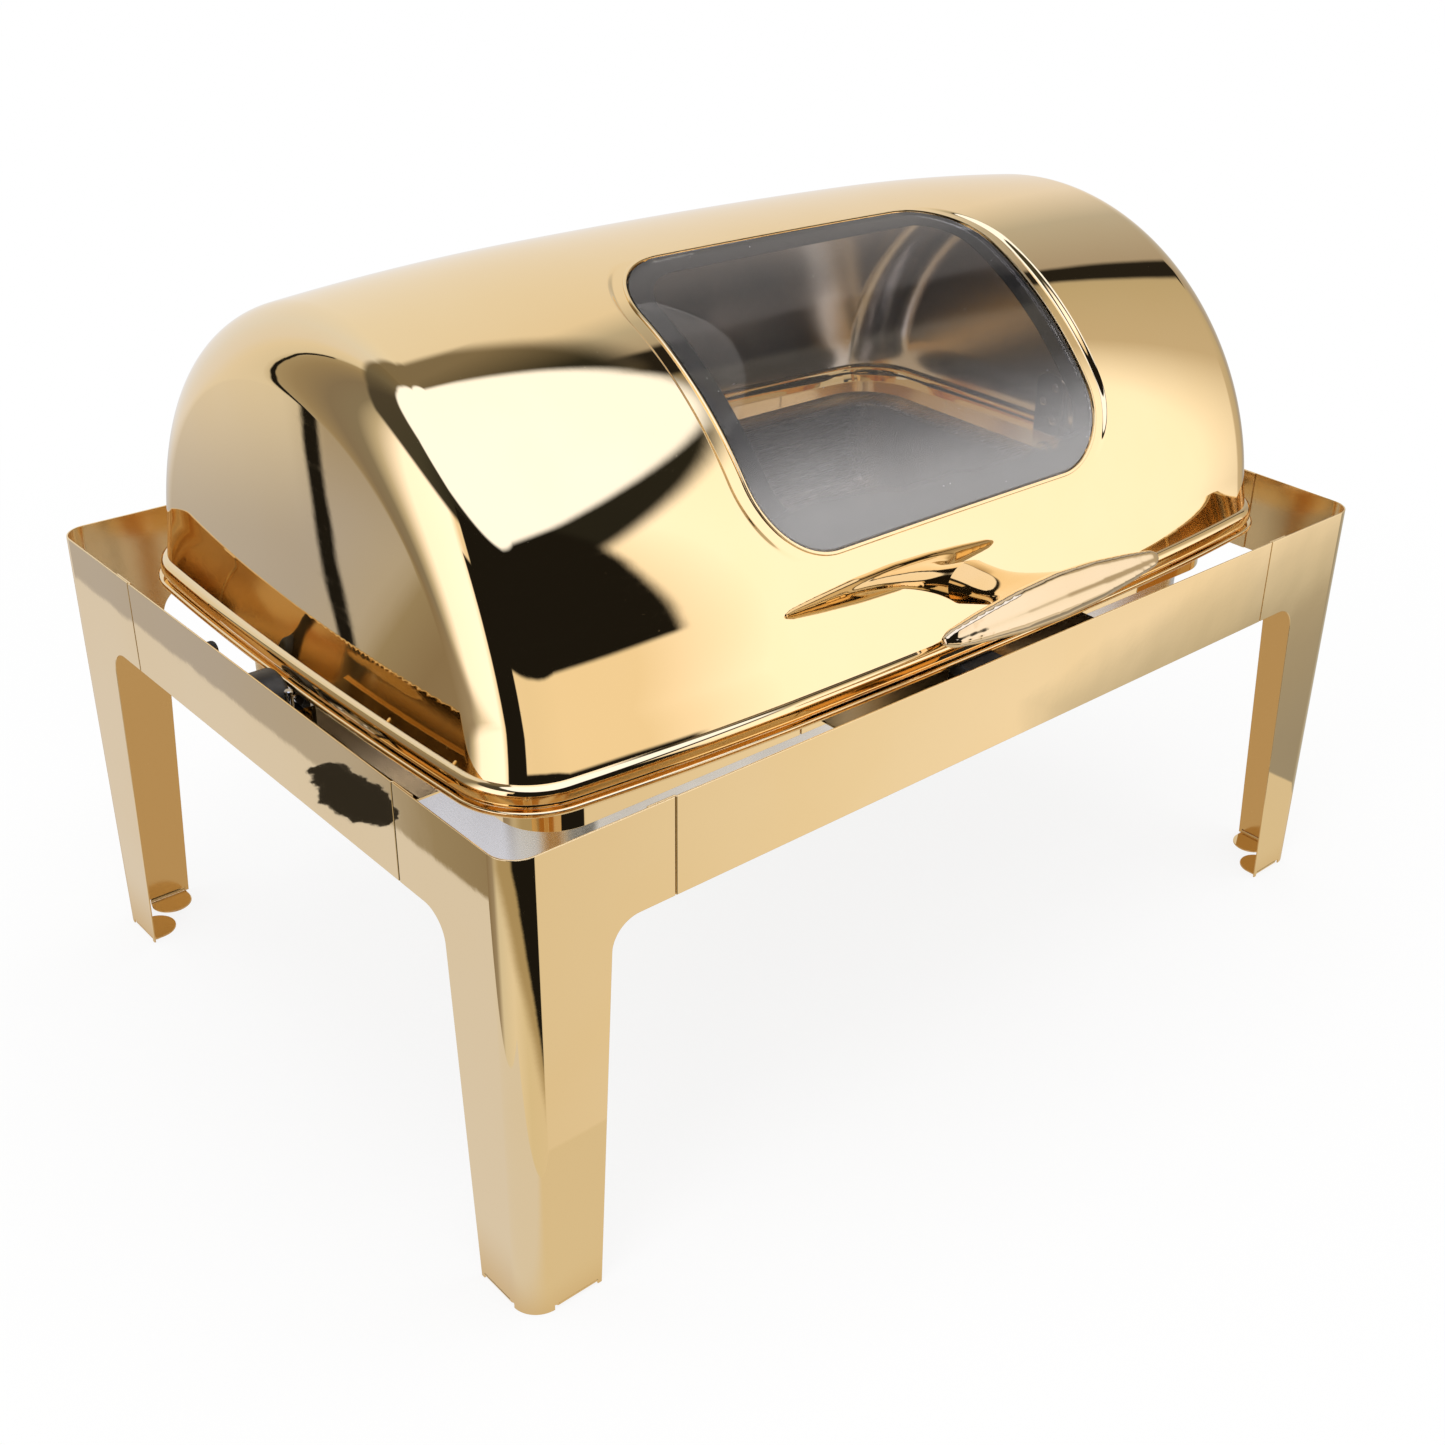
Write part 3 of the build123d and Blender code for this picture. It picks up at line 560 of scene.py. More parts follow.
BLOCK_X = 150.0             # a block of the skin's grid is given over to rings round the window
BLOCK_PHI = math.asin(104.0 / BARREL_RADIUS)
BLOCK_COLUMN, BLOCK_ROW = 30, 18
X_LINES = np.concatenate([
    np.linspace(-BARREL_END, -BLOCK_X, BLOCK_COLUMN + 1)[:-1],
    np.linspace(-BLOCK_X, BLOCK_X, BLOCK_COUNT[0] + 1),
    np.linspace(BLOCK_X, BARREL_END, BLOCK_COLUMN + 1)[1:],
])
PHI_LINES = np.concatenate([
    np.linspace(-WINDOW_TILT, -BLOCK_PHI, BLOCK_ROW + 1)[:-1],
    np.linspace(-BLOCK_PHI, BLOCK_PHI, BLOCK_COUNT[1] + 1),
    np.linspace(BLOCK_PHI, math.pi - WINDOW_TILT, 91)[1:],
])


def skin_block():
    """The skin in the block: rings from the pocket's edge, over the seat's step, to the grid."""
    pocket, inner_seat = rounded_rectangle(*(WINDOW + 1.0)), rounded_rectangle(*(SEAT - 3))
    loops = [pocket * (1 - t) + inner_seat * t for t in (0.0, 0.25, 0.5, 0.75)]
    loops += [rounded_rectangle(*(SEAT + d)) for d in np.linspace(-3, 3, 17)]
    rings = []
    for x, v in (loop.T for loop in loops):
        rings.append(np.stack([x, np.arcsin(v / (BARREL_RADIUS - crown_sag(x)))], -1))
    block = rounded_rectangle(BLOCK_X, BLOCK_PHI * 100, 0.0) / (1, 100)
    rings += [rings[-1] * (1 - t) + block * t for t in (0.25, 0.5, 0.75)]
    rings.append(block)
    x, phi = np.concatenate(rings).T
    faces = grid_faces(len(rings), len(block), closed=True, flip=True)
    return skin_point(x, phi), skin_normal(x, phi), faces


def skin_barrel():
    """The skin between the two end fillets, without the block."""
    faces = []
    for face in grid_faces(len(PHI_LINES), len(X_LINES)):
        row, column = divmod(face[0], len(X_LINES))
        in_columns = BLOCK_COLUMN <= column < BLOCK_COLUMN + BLOCK_COUNT[0]
        if not (in_columns and BLOCK_ROW <= row < BLOCK_ROW + BLOCK_COUNT[1]):
            faces.append(face)
    x, phi = (lines.ravel() for lines in np.meshgrid(X_LINES, PHI_LINES))
    return skin_point(x, phi), skin_normal(x, phi), faces


def skin_end(side):
    """A rounded end, as its profile turned about the barrel's axis."""
    profile = end_profile(28, 40)
    x, radius = profile[:, 0] * side, profile[:, 1]
    along, out = end_normal(x, radius).T
    points, normals = [], []
    for phi in PHI_LINES:
        angle = phi + WINDOW_TILT
        points.append(on_barrel(x, radius, phi))
        normals.append(np.stack([along, -out * np.cos(angle), out * np.sin(angle)], -1))
    faces = grid_faces(len(PHI_LINES), len(profile), flip=side < 0)
    return np.concatenate(points), np.concatenate(normals), faces


def flare(points, normals):
    """Leans the wall's foot outward, most at the left of the front and at the ends."""
    at_end = np.clip((np.abs(normals[:, 0]) - 0.5) / 0.4, 0, 1)
    at_front = (normals[:, 1] < 0) * np.clip((100 - points[:, 0]) / 160, 0.7, 1)
    start = FLARE_START + FLARE_END_RISE * at_end
    amount = np.clip((start - points[:, 2]) / (start - RIM_BOTTOM - RIM_SHOULDER), 0, 1.1)
    lean = np.radians(amount * (FLARE_LEAN + FLARE_MORE_LEAN * np.maximum(at_end, at_front)))
    level = normals * (1, 1, 0)
    level /= np.maximum(np.linalg.norm(level, axis=1, keepdims=True), 1e-6)
    points = points + level * (FLARE_REACH * amount**2)[:, None]
    pitch = np.arcsin(np.clip(normals[:, 2], -1, 1)) + lean
    leaned = level * np.cos(pitch)[:, None]
    leaned[:, 2] = np.sin(pitch)
    return points, np.where(amount[:, None] > 0, leaned, normals)


def cut_below(points, normals, faces, height):
    """Cuts the skin off at a height, and carries the normals to the new edge."""
    bm = bmesh.new()
    layers = [bm.verts.layers.float.new(f"n{axis}") for axis in range(3)]
    verts = [bm.verts.new(p) for p in points]
    for vert, normal in zip(verts, normals):
        for layer, value in zip(layers, normal):
            vert[layer] = value
    for face in faces:
        distinct = []
        for corner in (verts[i] for i in face):
            if all((corner.co - other.co).length > 1e-5 for other in distinct):
                distinct.append(corner)
        if len(distinct) > 2:
            bm.faces.new(distinct)
    everything = bm.verts[:] + bm.edges[:] + bm.faces[:]
    bmesh.ops.bisect_plane(
        bm, geom=everything, plane_co=(0, 0, height), plane_no=(0, 0, 1), clear_inner=True
    )
    loose = [v for v in bm.verts if not v.link_faces]
    bmesh.ops.delete(bm, geom=loose, context="VERTS")
    bmesh.ops.remove_doubles(bm, verts=bm.verts, dist=1e-3)
    bm.verts.index_update()
    out_points = np.array([v.co for v in bm.verts])
    out_normals = np.array([[v[layer] for layer in layers] for v in bm.verts])
    out_normals /= np.linalg.norm(out_normals, axis=1, keepdims=True)
    out_faces = [tuple(v.index for v in f.verts) for f in bm.faces]
    bm.free()
    return out_points, out_normals, out_faces


def build_skin():
    """The polished outside of the lid, and the duller inside of the same sheet."""
    points, normals, faces = joined(skin_block(), skin_barrel(), skin_end(-1), skin_end(1))
    points, normals = flare(points, normals)
    points, normals, faces = cut_below(points, normals, faces, RIM_BOTTOM + SKIN_FOOT)
    outside = set_normals(new_piece("lid_skin", points, faces), normals)
    turned = [face[::-1] for face in faces]
    inside = new_piece("lid_lining", points - normals * LID_SHEET, turned)
    return outside, set_normals(inside, -normals)


# ---- lid rim ------------------------------------------------------------------------------
def lid_plan():
    """Closed loop of the lid's wall seen from above, with its outward normals."""
    end = end_profile(22, 14)
    x_side = np.linspace(-BARREL_END, BARREL_END, 121)[1:-1]
    left = end[::-1] * (-1, 1)
    side = np.stack([x_side, BARREL_RADIUS - crown_sag(x_side)], -1)
    slope = crown_slope(x_side)
    side_normal = np.stack([slope, np.ones_like(slope)], -1)
    side_normal /= np.linalg.norm(side_normal, axis=1, keepdims=True)
    half = np.concatenate([left, side, end])
    half_normal = np.concatenate([end_normal(*left.T), side_normal, end_normal(*end.T)])
    loop = np.concatenate([half * (1, -1), half[::-1][1:-1]])
    return loop, np.concatenate([half_normal * (1, -1), half_normal[::-1][1:-1]])


def build_rim():
    """Shoulder, waist and rolled bead, swept round the lid's plan."""
    profile = [(-0.4, RIM_SHOULDER), (0.5, RIM_SHOULDER)]     # reach, and height from its bottom
    profile += arc((0.5, 9.1), 5.5, 90, 0, 14)[1:]
    profile += [(6.0, 6.7)] + arc((5.7, 6.7), 0.3, 0, -90, 3)[1:]
    profile += [(4.3, 6.4)] + arc((4.3, 5.9), 0.5, 90, 180, 3)[1:]
    profile += [(3.8, 3.6)] + arc((4.2, 3.6), 0.4, 180, 270, 3)[1:]
    profile += [(6.5, 3.2)] + arc((6.5, 1.7), 1.5, 90, 0, 6)[1:]
    profile += arc((6.5, 1.5), 1.5, 0, -90, 6)
    profile += [(4.2, 0.0)] + arc((4.2, 1.2), 1.2, 270, 180, 4)[1:]
    profile += [(3.0, 7.0), (5.2, 7.2), (5.2, 9.1)]
    profile += arc((0.5, 9.1), 4.7, 0, 90, 8)[1:]
    profile += [(-0.6, 13.8), (-0.6, RIM_SHOULDER)]
    loop, normal = lid_plan()
    loops = []
    for reach, height in profile:
        x, y = (loop + normal * reach).T
        loops.append(np.stack([x, BARREL_Y + y, np.full_like(x, RIM_BOTTOM + height)], -1))
    return swept("lid_rim", loops, 32)


# ---- window -------------------------------------------------------------------------------
WINDOW_UP = np.array([0.0, math.sin(WINDOW_TILT), math.cos(WINDOW_TILT)])
WINDOW_OUT = np.array([0.0, -math.cos(WINDOW_TILT), math.sin(WINDOW_TILT)])
BARREL_AXIS = np.array([0.0, BARREL_Y, BARREL_Z])
GLASS_THICKNESS = 4.0


def window_point(x, v, height):
    """Points over the window's seat: x along the lid, v up its curve, height above it."""
    level = -SEAT_DROP + np.sqrt((SEAT_RADIUS - crown_sag(x)) ** 2 - v**2) + height
    point = BARREL_AXIS + np.outer(v, WINDOW_UP) + np.outer(level, WINDOW_OUT)
    point[:, 0] += x
    return point


def window_normal(x, v):
    h = 0.05
    along = window_point(x + h, v, 0) - window_point(x - h, v, 0)
    up = window_point(x, v + h, 0) - window_point(x, v - h, 0)
    out = np.cross(along, up)
    return out / np.linalg.norm(out, axis=1, keepdims=True)


def window_sweep(name, profile):
    """A profile of (outward, height) pairs swept round the glass's outline."""
    loops = [window_point(*rounded_rectangle(*(WINDOW + grow)).T, up) for grow, up in profile]
    return swept(name, loops, 30)


def build_pocket():
    profile = [(1.8, -0.4), (1.8, -5.1), (-12.0, -5.1), (-12.0, -4.3), (1.0, -4.3), (1.0, 0.0)]
    return window_sweep("window_pocket", profile)


def build_trim():
    profile = [(1.0, -0.5), (1.0, 0.6)] + arc((1.3, 0.6), 0.3, 180, 90, 3)[1:]
    profile += [(2.2, 0.9)] + arc((2.2, 0.5), 0.4, 90, 0, 3)[1:] + [(2.6, -0.3)]
    return window_sweep("window_lip", profile)


def build_seal():
    profile = [(-0.2, -4.05), (-14.0, -4.05), (-14.0, -4.3), (-0.2, -4.3), (-0.2, -4.05)]
    return window_sweep("window_band", profile)


def glass_face(level, side):
    """One face of the pane, as shrinking copies of its border and a fan at the middle."""
    border = rounded_rectangle(*(WINDOW - 0.5))
    scales = np.linspace(1.0, 0.0, 26)[:-1]
    x, v = np.concatenate([border * scale for scale in scales] + [np.zeros((1, 2))]).T
    count, pole = len(border), len(x) - 1
    last = pole - count
    faces = grid_faces(len(scales), count, closed=True)
    faces += [(last + i, last + (i + 1) % count, pole) for i in range(count)]
    return window_point(x, v, level), window_normal(x, v) * side, [f[::side] for f in faces]


def glass_edge():
    """The pane's ground edge; its normals lean over towards the two faces."""
    points, normals = [], []
    edge = ((-0.5, 0.0, 0.7), (0.0, -0.5, 0.0), (0.0, -3.5, 0.0), (-0.5, -GLASS_THICKNESS, -0.7))
    for grow, level, lean in edge:
        loop = rounded_rectangle(*(WINDOW + grow))
        flat = loop - np.roll(loop, 1, axis=0)
        away = np.stack([flat[:, 1], -flat[:, 0]], -1)
        away /= np.linalg.norm(away, axis=1, keepdims=True)
        out = np.outer(away[:, 0], (1, 0, 0)) + np.outer(away[:, 1], WINDOW_UP)
        out += lean * WINDOW_OUT
        points.append(window_point(*loop.T, level))
        normals.append(out / np.linalg.norm(out, axis=1, keepdims=True))
    faces = grid_faces(len(edge), len(loop), closed=True, flip=True)
    return np.concatenate(points), np.concatenate(normals), faces


def build_glass():
    """Curved pane with ground edges; its normals are exact, so that it mirrors cleanly."""
    points, normals, faces = joined(
        glass_face(0.0, 1), glass_face(-GLASS_THICKNESS, -1), glass_edge()
    )
    return set_normals(new_piece("window_pane", points, faces), normals)


# ---- handle -------------------------------------------------------------------------------
BAR_STATIONS = np.array([     # along X: half depth, half height
    (0.0, 11.0, 13.0),
    (30.0, 10.4, 11.5),
    (58.0, 8.0, 8.0),
    (78.0, 5.4, 4.8),
    (HANDLE_HALF_LENGTH, 2.4, 2.2),
])
BAR_SWELLS = (                # a ridge on top, a flute in front of it and a lip below that:
    (100, 0.28, 0.10),        # turn in degrees, width in radians, height as part of the radius
    (146, 0.38, -0.30),
    (196, 0.4, 0.10),
)
BAR_SLIMMING = 0.93           # keeps the bar's front within the CAD box
NECK_STATIONS = np.array([    # from the bar to the lid: y, z, half length, half height
    (HANDLE_Y + 1, HANDLE_Z + 2, 60.0, 6.4),
    (-239.0, 307.5, 43.0, 6.4),
    (-225.0, 303.0, 24.0, 7.0),
    (-206.0, 297.0, 16.0, 9.0),
    (BARREL_Y - BARREL_RADIUS + 10, HANDLE_FOOT_Z + 1, 17.0, 13.0),
])


def flowing(table, steps):
    """A Catmull-Rom curve through the rows of a table."""
    ends = np.concatenate([[2 * table[0] - table[1]], table, [2 * table[-1] - table[-2]]])
    out = []
    for place in np.linspace(0, len(table) - 1, steps):
        k = min(int(place), len(table) - 2)
        t = place - k
        a, b, c, d = ends[k:k + 4]
        bend, twist = 2 * a - 5 * b + 4 * c - d, 3 * b - a - 3 * c + d
        out.append(0.5 * (2 * b + (c - a) * t + bend * t**2 + twist * t**3))
    return np.array(out)


def skin_over(sections):
    """A closed skin over a stack of closed sections."""
    count = len(sections[0])
    last = (len(sections) - 1) * count
    faces = grid_faces(len(sections), count, closed=True)
    faces.append(tuple(range(count))[::-1])
    faces.append(tuple(range(last, last + count)))
    return np.concatenate(sections), faces


def bar_sections():
    turns = np.linspace(0, 2 * math.pi, 73)[:-1]
    form = 1
    for at, wide, height in BAR_SWELLS:
        form = form + height * np.exp(-(((turns - math.radians(at)) / wide) ** 2))
    sections = []
    for x in HANDLE_HALF_LENGTH * np.sin(np.linspace(-math.pi / 2, math.pi / 2, 121)):
        depth = np.interp(abs(x), BAR_STATIONS[:, 0], BAR_STATIONS[:, 1])
        height = np.interp(abs(x), BAR_STATIONS[:, 0], BAR_STATIONS[:, 2])
        y = HANDLE_Y + BAR_SLIMMING * depth * np.cos(turns) * form
        z = HANDLE_Z + height * np.sin(turns) * form
        sections.append(np.stack([np.full_like(y, x), y, z], -1))
    return sections


def neck_sections():
    turns = np.linspace(0, 2 * math.pi, 49)[:-1]
    sections = []
    for y, z, half_length, half_height in flowing(NECK_STATIONS, 41):
        x = half_length * np.cos(turns)
        rise = z + half_height * np.sin(turns)
        sections.append(np.stack([x, np.full_like(x, y), rise], -1))
    return sections


def tuck_into_lid(obj):
    """Presses the neck's hidden end against the inside of the lid's skin."""
    for vert in obj.data.vertices:
        x = vert.co.x / MM
        y, z = vert.co.y / MM - ORIGIN_Y - BARREL_Y, vert.co.z / MM - BARREL_Z
        limit = BARREL_RADIUS - float(crown_sag(x)) - 0.4
        radius = math.hypot(y, z)
        if radius < limit:
            vert.co.y = (y * limit / radius + ORIGIN_Y + BARREL_Y) * MM
            vert.co.z = (z * limit / radius + BARREL_Z) * MM


def build_handle():
    """Bar and neck fused by a voxel remesh, then smoothed into one cast piece."""
    points, faces = joined(skin_over(bar_sections()), skin_over(neck_sections()))
    obj = new_piece("lid_handle", points, faces)
    bm = bmesh.new()
    bm.from_mesh(obj.data)
    bmesh.ops.recalc_face_normals(bm, faces=bm.faces)
    bm.to_mesh(obj.data)
    bm.free()
    fuse = obj.modifiers.new("fuse", "REMESH")
    fuse.mode = "VOXEL"
    fuse.voxel_size = 0.9 * MM
    soft = obj.modifiers.new("soften", "SMOOTH")
    soft.factor = 0.5
    soft.iterations = 14
    fine = obj.modifiers.new("refine", "SUBSURF")
    fine.levels = fine.render_levels = 1
    bake_modifiers(obj)
    tuck_into_lid(obj)
    obj.data.shade_smooth()
    return obj


# ---- stand --------------------------------------------------------------------------------
BEND_LENGTH = CORNER_RADIUS * math.pi / 4      # half of the developed corner


def developed(reach):
    """Distance from the corner's middle along the sheet, for a distance along the wing."""
    return reach - CORNER_RADIUS + BEND_LENGTH


def unroll_back(u):
    """Plan position of a developed distance; negative values run along the Y wing."""
    if abs(u) > BEND_LENGTH:
        far = abs(u) - BEND_LENGTH + CORNER_RADIUS
        return (far, 0.0) if u > 0 else (0.0, far)
    angle = math.radians(225) + u / CORNER_RADIUS
    return tuple(CORNER_RADIUS + CORNER_RADIUS * turn(angle) for turn in (math.cos, math.sin))


def wing_outline():
    """Half outline of the leg as (developed distance, height), from the top down."""
    stub_bottom = STAND_TOP - APRON_HEIGHT
    lean = (LEG_TOP_WIDTH - LEG_FOOT_WIDTH) / stub_bottom
    centre_z = stub_bottom - LEG_FILLET
    centre_x = LEG_FOOT_WIDTH + lean * centre_z + LEG_FILLET * math.hypot(1, lean)
    stop = 180.0 - math.degrees(math.atan(lean))
    outline = [(STUB_REACH, STAND_TOP), (STUB_REACH, stub_bottom)]
    outline += arc((centre_x, centre_z), LEG_FILLET, 90.0, stop, 14)
    near = TAB_FAR - TAB_WIDTH - 1.0
    outline += [(LEG_FOOT_WIDTH, 0.0), (TAB_FAR, 0.0), (TAB_FAR, TAB_NOTCH)]
    outline += [(near, TAB_NOTCH), (near, 0.0)]
    return [(developed(reach), z) for reach, z in outline]


def bent_plate(name, outline, cuts, place, side):
    """A flat outline cut across at its bends, mapped into space and given thickness."""
    bm = bmesh.new()
    bm.faces.new([bm.verts.new((u, z, 0)) for u, z in outline])
    for cut in cuts:
        everything = bm.verts[:] + bm.edges[:] + bm.faces[:]
        bmesh.ops.bisect_plane(bm, geom=everything, plane_co=(cut, 0, 0), plane_no=(1, 0, 0))
    bm.verts.index_update()
    points = [place(v.co.x, v.co.y) for v in bm.verts]
    faces = [tuple(v.index for v in f.verts) for f in bm.faces]
    bm.free()
    return plate(name, points, faces, STAND_SHEET, side)


def from_corner(x_side, y_side, x, y, z):
    """A point measured inward from one corner of the stand."""
    return x_side * (STAND_LENGTH / 2 - x), y_side * (STAND_DEPTH / 2 - y), z


def build_leg(name, x_side, y_side):
    half = wing_outline()
    outline = half + [(-u, z) for u, z in reversed(half)]
    cuts = np.linspace(-BEND_LENGTH, BEND_LENGTH, 25)

    def place(u, z):
        return from_corner(x_side, y_side, *unroll_back(u), z)

    return bent_plate(name, outline, cuts, place, float(x_side * y_side))


def build_tab(name, x_side, y_side, along_x):
    """The round-ended tab bent inward under one wing."""
    reach, bend = 20.0, 3.0
    radius = TAB_WIDTH / 2
    middle = TAB_FAR - radius
    arc_length = bend * math.pi / 2
    straight = arc_length + reach - bend - radius
    outline = [(0.0, 2 - radius), (straight, -radius)]
    outline += arc((straight, 0.0), radius, -90, 90, 16)[1:] + [(0.0, radius)]

    def place(t, w):
        if t < arc_length:
            inward, z = bend - bend * math.cos(t / bend), bend - bend * math.sin(t / bend)
        else:
            inward, z = bend + t - arc_length, 0.0
        x, y = (middle + w, inward) if along_x else (inward, middle + w)
        return from_corner(x_side, y_side, x, y, z)

    side = x_side * y_side * (-1.0 if along_x else 1.0)
    return bent_plate(name, outline, np.linspace(0, arc_length, 7), place, side)


def build_apron(name, span, angle, out):
    """A strip with its ends stepped in behind the legs' stubs."""
    half = span / 2 - STUB_REACH
    step = STAND_SHEET + 0.05
    path = [(-half - APRON_LAP, step), (-half + 0.4, step), (-half + 0.9, 0.0)]
    path += [(-x, inward) for x, inward in reversed(path)]
    cos_t, sin_t = math.cos(math.radians(angle)), math.sin(math.radians(angle))
    turned = []
    for x, inward in path:
        y = -out + inward
        turned.append((x * cos_t - y * sin_t, x * sin_t + y * cos_t))
    return strip_plate(name, turned, STAND_TOP - APRON_HEIGHT, STAND_TOP, STAND_SHEET)


RING_LENGTH, RING_DEPTH, RING_CORNER = 538.0, 332.0, 30.0
RING_LOW, RING_HIGH, RING_SHEET = 225.0, 250.0, 1.2
RING_JOINT_X, JOINT_GAP = -100.0, 0.8


def build_ring():
    """One strip bent into the well's frame, open at its joint."""
    start, stop = ((RING_JOINT_X + gap, -RING_DEPTH / 2) for gap in (JOINT_GAP / 2, -JOINT_GAP / 2))
    path = [start] + rounded_path(RING_LENGTH, RING_DEPTH, RING_CORNER) + [stop]
    return strip_plate("well_frame", path, RING_LOW, RING_HIGH, RING_SHEET)


# ---- pans ---------------------------------------------------------------------------------
PAN_SHEET = 0.8
PAN_ROLL = 3.0


def build_pan(name, flange, body, top, depth, base_fillet):
    """Deep-drawn pan: flange, rolled shoulder, wall and rounded floor as one sheet.

    The flange and the body are each a length, a width and a corner radius."""
    body_x, body_y, body_r = body
    loops = [(*flange, top)]
    for a in np.radians(np.linspace(0, 90, 7)):
        inset = PAN_ROLL * (1 - math.sin(a))
        drop = PAN_ROLL * (1 - math.cos(a))
        loops.append((body_x + 2 * inset, body_y + 2 * inset, body_r + inset, top - drop))
    inner = base_fillet - PAN_SHEET
    for a in np.radians(np.linspace(0, 90, 11)):
        inset = PAN_SHEET + inner * (1 - math.cos(a))
        height = top - depth + PAN_SHEET + inner * (1 - math.sin(a))
        loops.append((body_x - 2 * inset, body_y - 2 * inset, max(body_r - inset, 5.0), height))
    points = [(x, y, z) for *plan, z in loops for x, y in rounded_path(*plan, 14)]
    count = len(points) // len(loops)
    faces = grid_faces(len(loops), count, closed=True)
    faces.append(tuple(range(len(points) - count, len(points))))
    return plate(name, points, faces, PAN_SHEET, bevel=0.25)


# ---- small parts --------------------------------------------------------------------------
def softened(node, name, bevel):
    """The CAD node's own shape as a new piece with small rounded edges."""
    mesh = frame["nodes"][node].data.copy()
    mesh.name = name
    bm = bmesh.new()
    bm.from_mesh(mesh)
    bmesh.ops.remove_doubles(bm, verts=bm.verts, dist=1e-6)
    bmesh.ops.dissolve_limit(bm, angle_limit=math.radians(0.5), verts=bm.verts, edges=bm.edges)
    if bevel:
        sharp = [
            e for e in bm.edges
            if len(e.link_faces) == 2 and e.calc_face_angle(0.0) > math.radians(40)
        ]
        bmesh.ops.bevel(
            bm, geom=sharp, offset=bevel * MM, segments=2, affect="EDGES",
            profile=0.7, clamp_overlap=True,
        )
    bm.to_mesh(mesh)
    bm.free()
    return weigh_normals(set_smooth(link(name, mesh), 50))


SMALL_PARTS = {               # by body: look, rounding of the edges, and CAD nodes
    "stand": (
        ("gold_stand", 0.2, "ring_splice"),
        ("gold_stand", 0.3, "shelf_front shelf_left shelf_right"),
        ("gold_trim", 0.0, "plate_rivets"),
        ("black_rubber", 0.5, "lid_bumper"),
        ("bright_steel", 0.25, "pivot_bracket_left pivot_bracket_right"),
        ("black_nylon", 0.4, "pivot_boss_left pivot_boss_right"),
        ("bright_steel", 0.1, "pivot_pin_left pivot_pin_right"),
        ("black_rubber", 0.4, "roll_stop_left roll_stop_right"),
        ("bright_steel", 0.1, "bracket_screws"),
        ("bright_steel", 0.15, "bracket_nuts"),
        ("bright_steel", 0.1, "pivot_clips guide_posts"),
        ("black_rubber", 0.2, "side_buffers"),
    ),
    "lid": (
        ("bright_steel", 0.2, "handle_screws"),
        ("bright_steel", 0.25, "hinge_arm_left hinge_arm_right"),
        ("black_nylon", 0.15, "pivot_bush_left pivot_bush_right"),
        ("bright_steel", 0.0, "arm_rivets"),
    ),
}


def build_small_parts(body):
    for look, bevel, nodes in SMALL_PARTS[body]:
        for node in nodes.split():
            finish_piece(softened(node, f"{node}_piece", bevel), body, look, node)


# ---- assembly -----------------------------------------------------------------------------
def build_stand():
    for y_name, y_side in (("front", -1), ("rear", 1)):
        for x_name, x_side in (("left", -1), ("right", 1)):
            node = f"leg_{y_name}_{x_name}"
            finish_piece(build_leg(f"{node}_plate", x_side, y_side), "stand", "gold_stand", node)
            for suffix in ("x", "y"):
                tab = build_tab(f"{node}_foot_{suffix}", x_side, y_side, suffix == "x")
                finish_piece(tab, "stand", "gold_stand")
    for name, span, angle, depth in (
        ("front", STAND_LENGTH, 0, STAND_DEPTH),
        ("rear", STAND_LENGTH, 180, STAND_DEPTH),
        ("right", STAND_DEPTH, 90, STAND_LENGTH),
        ("left", STAND_DEPTH, 270, STAND_LENGTH),
    ):
        strip = build_apron(f"apron_{name}_plate", span, angle, depth / 2)
        finish_piece(strip, "stand", "gold_stand", f"apron_{name}")
    finish_piece(build_ring(), "stand", "gold_stand", "well_ring")
    build_small_parts("stand")


def build_lid():
    skin, lining = build_skin()
    finish_piece(skin, "lid", "gold_lid", "lid_shell")
    finish_piece(lining, "lid", "gold_lid", look="lid_lining")
    finish_piece(build_rim(), "lid", "gold_lid")
    finish_piece(build_pocket(), "lid", "gold_trim")
    finish_piece(build_trim(), "lid", "gold_trim", "window_trim")
    finish_piece(build_seal(), "lid", "black_border", "window_seal")
    finish_piece(build_glass(), "lid", "tinted_glass", "window_glass")
    finish_piece(build_handle(), "lid", "gold_handle", "handle")
    build_small_parts("lid")


def build_pans():
    top = RING_HIGH + PAN_SHEET
    water = build_pan("water_tray", (556, 350, 38), (520, 315, 34), top, 100.0, 14.0)
    finish_piece(water, "water_pan", "pan_steel", "water_pan")
    top += PAN_SHEET
    food = build_pan("food_tray", (530, 325, 26), (504, 299, 24), top, 65.0, 18.0)
    finish_piece(food, "food_pan", "pan_steel", "food_pan")


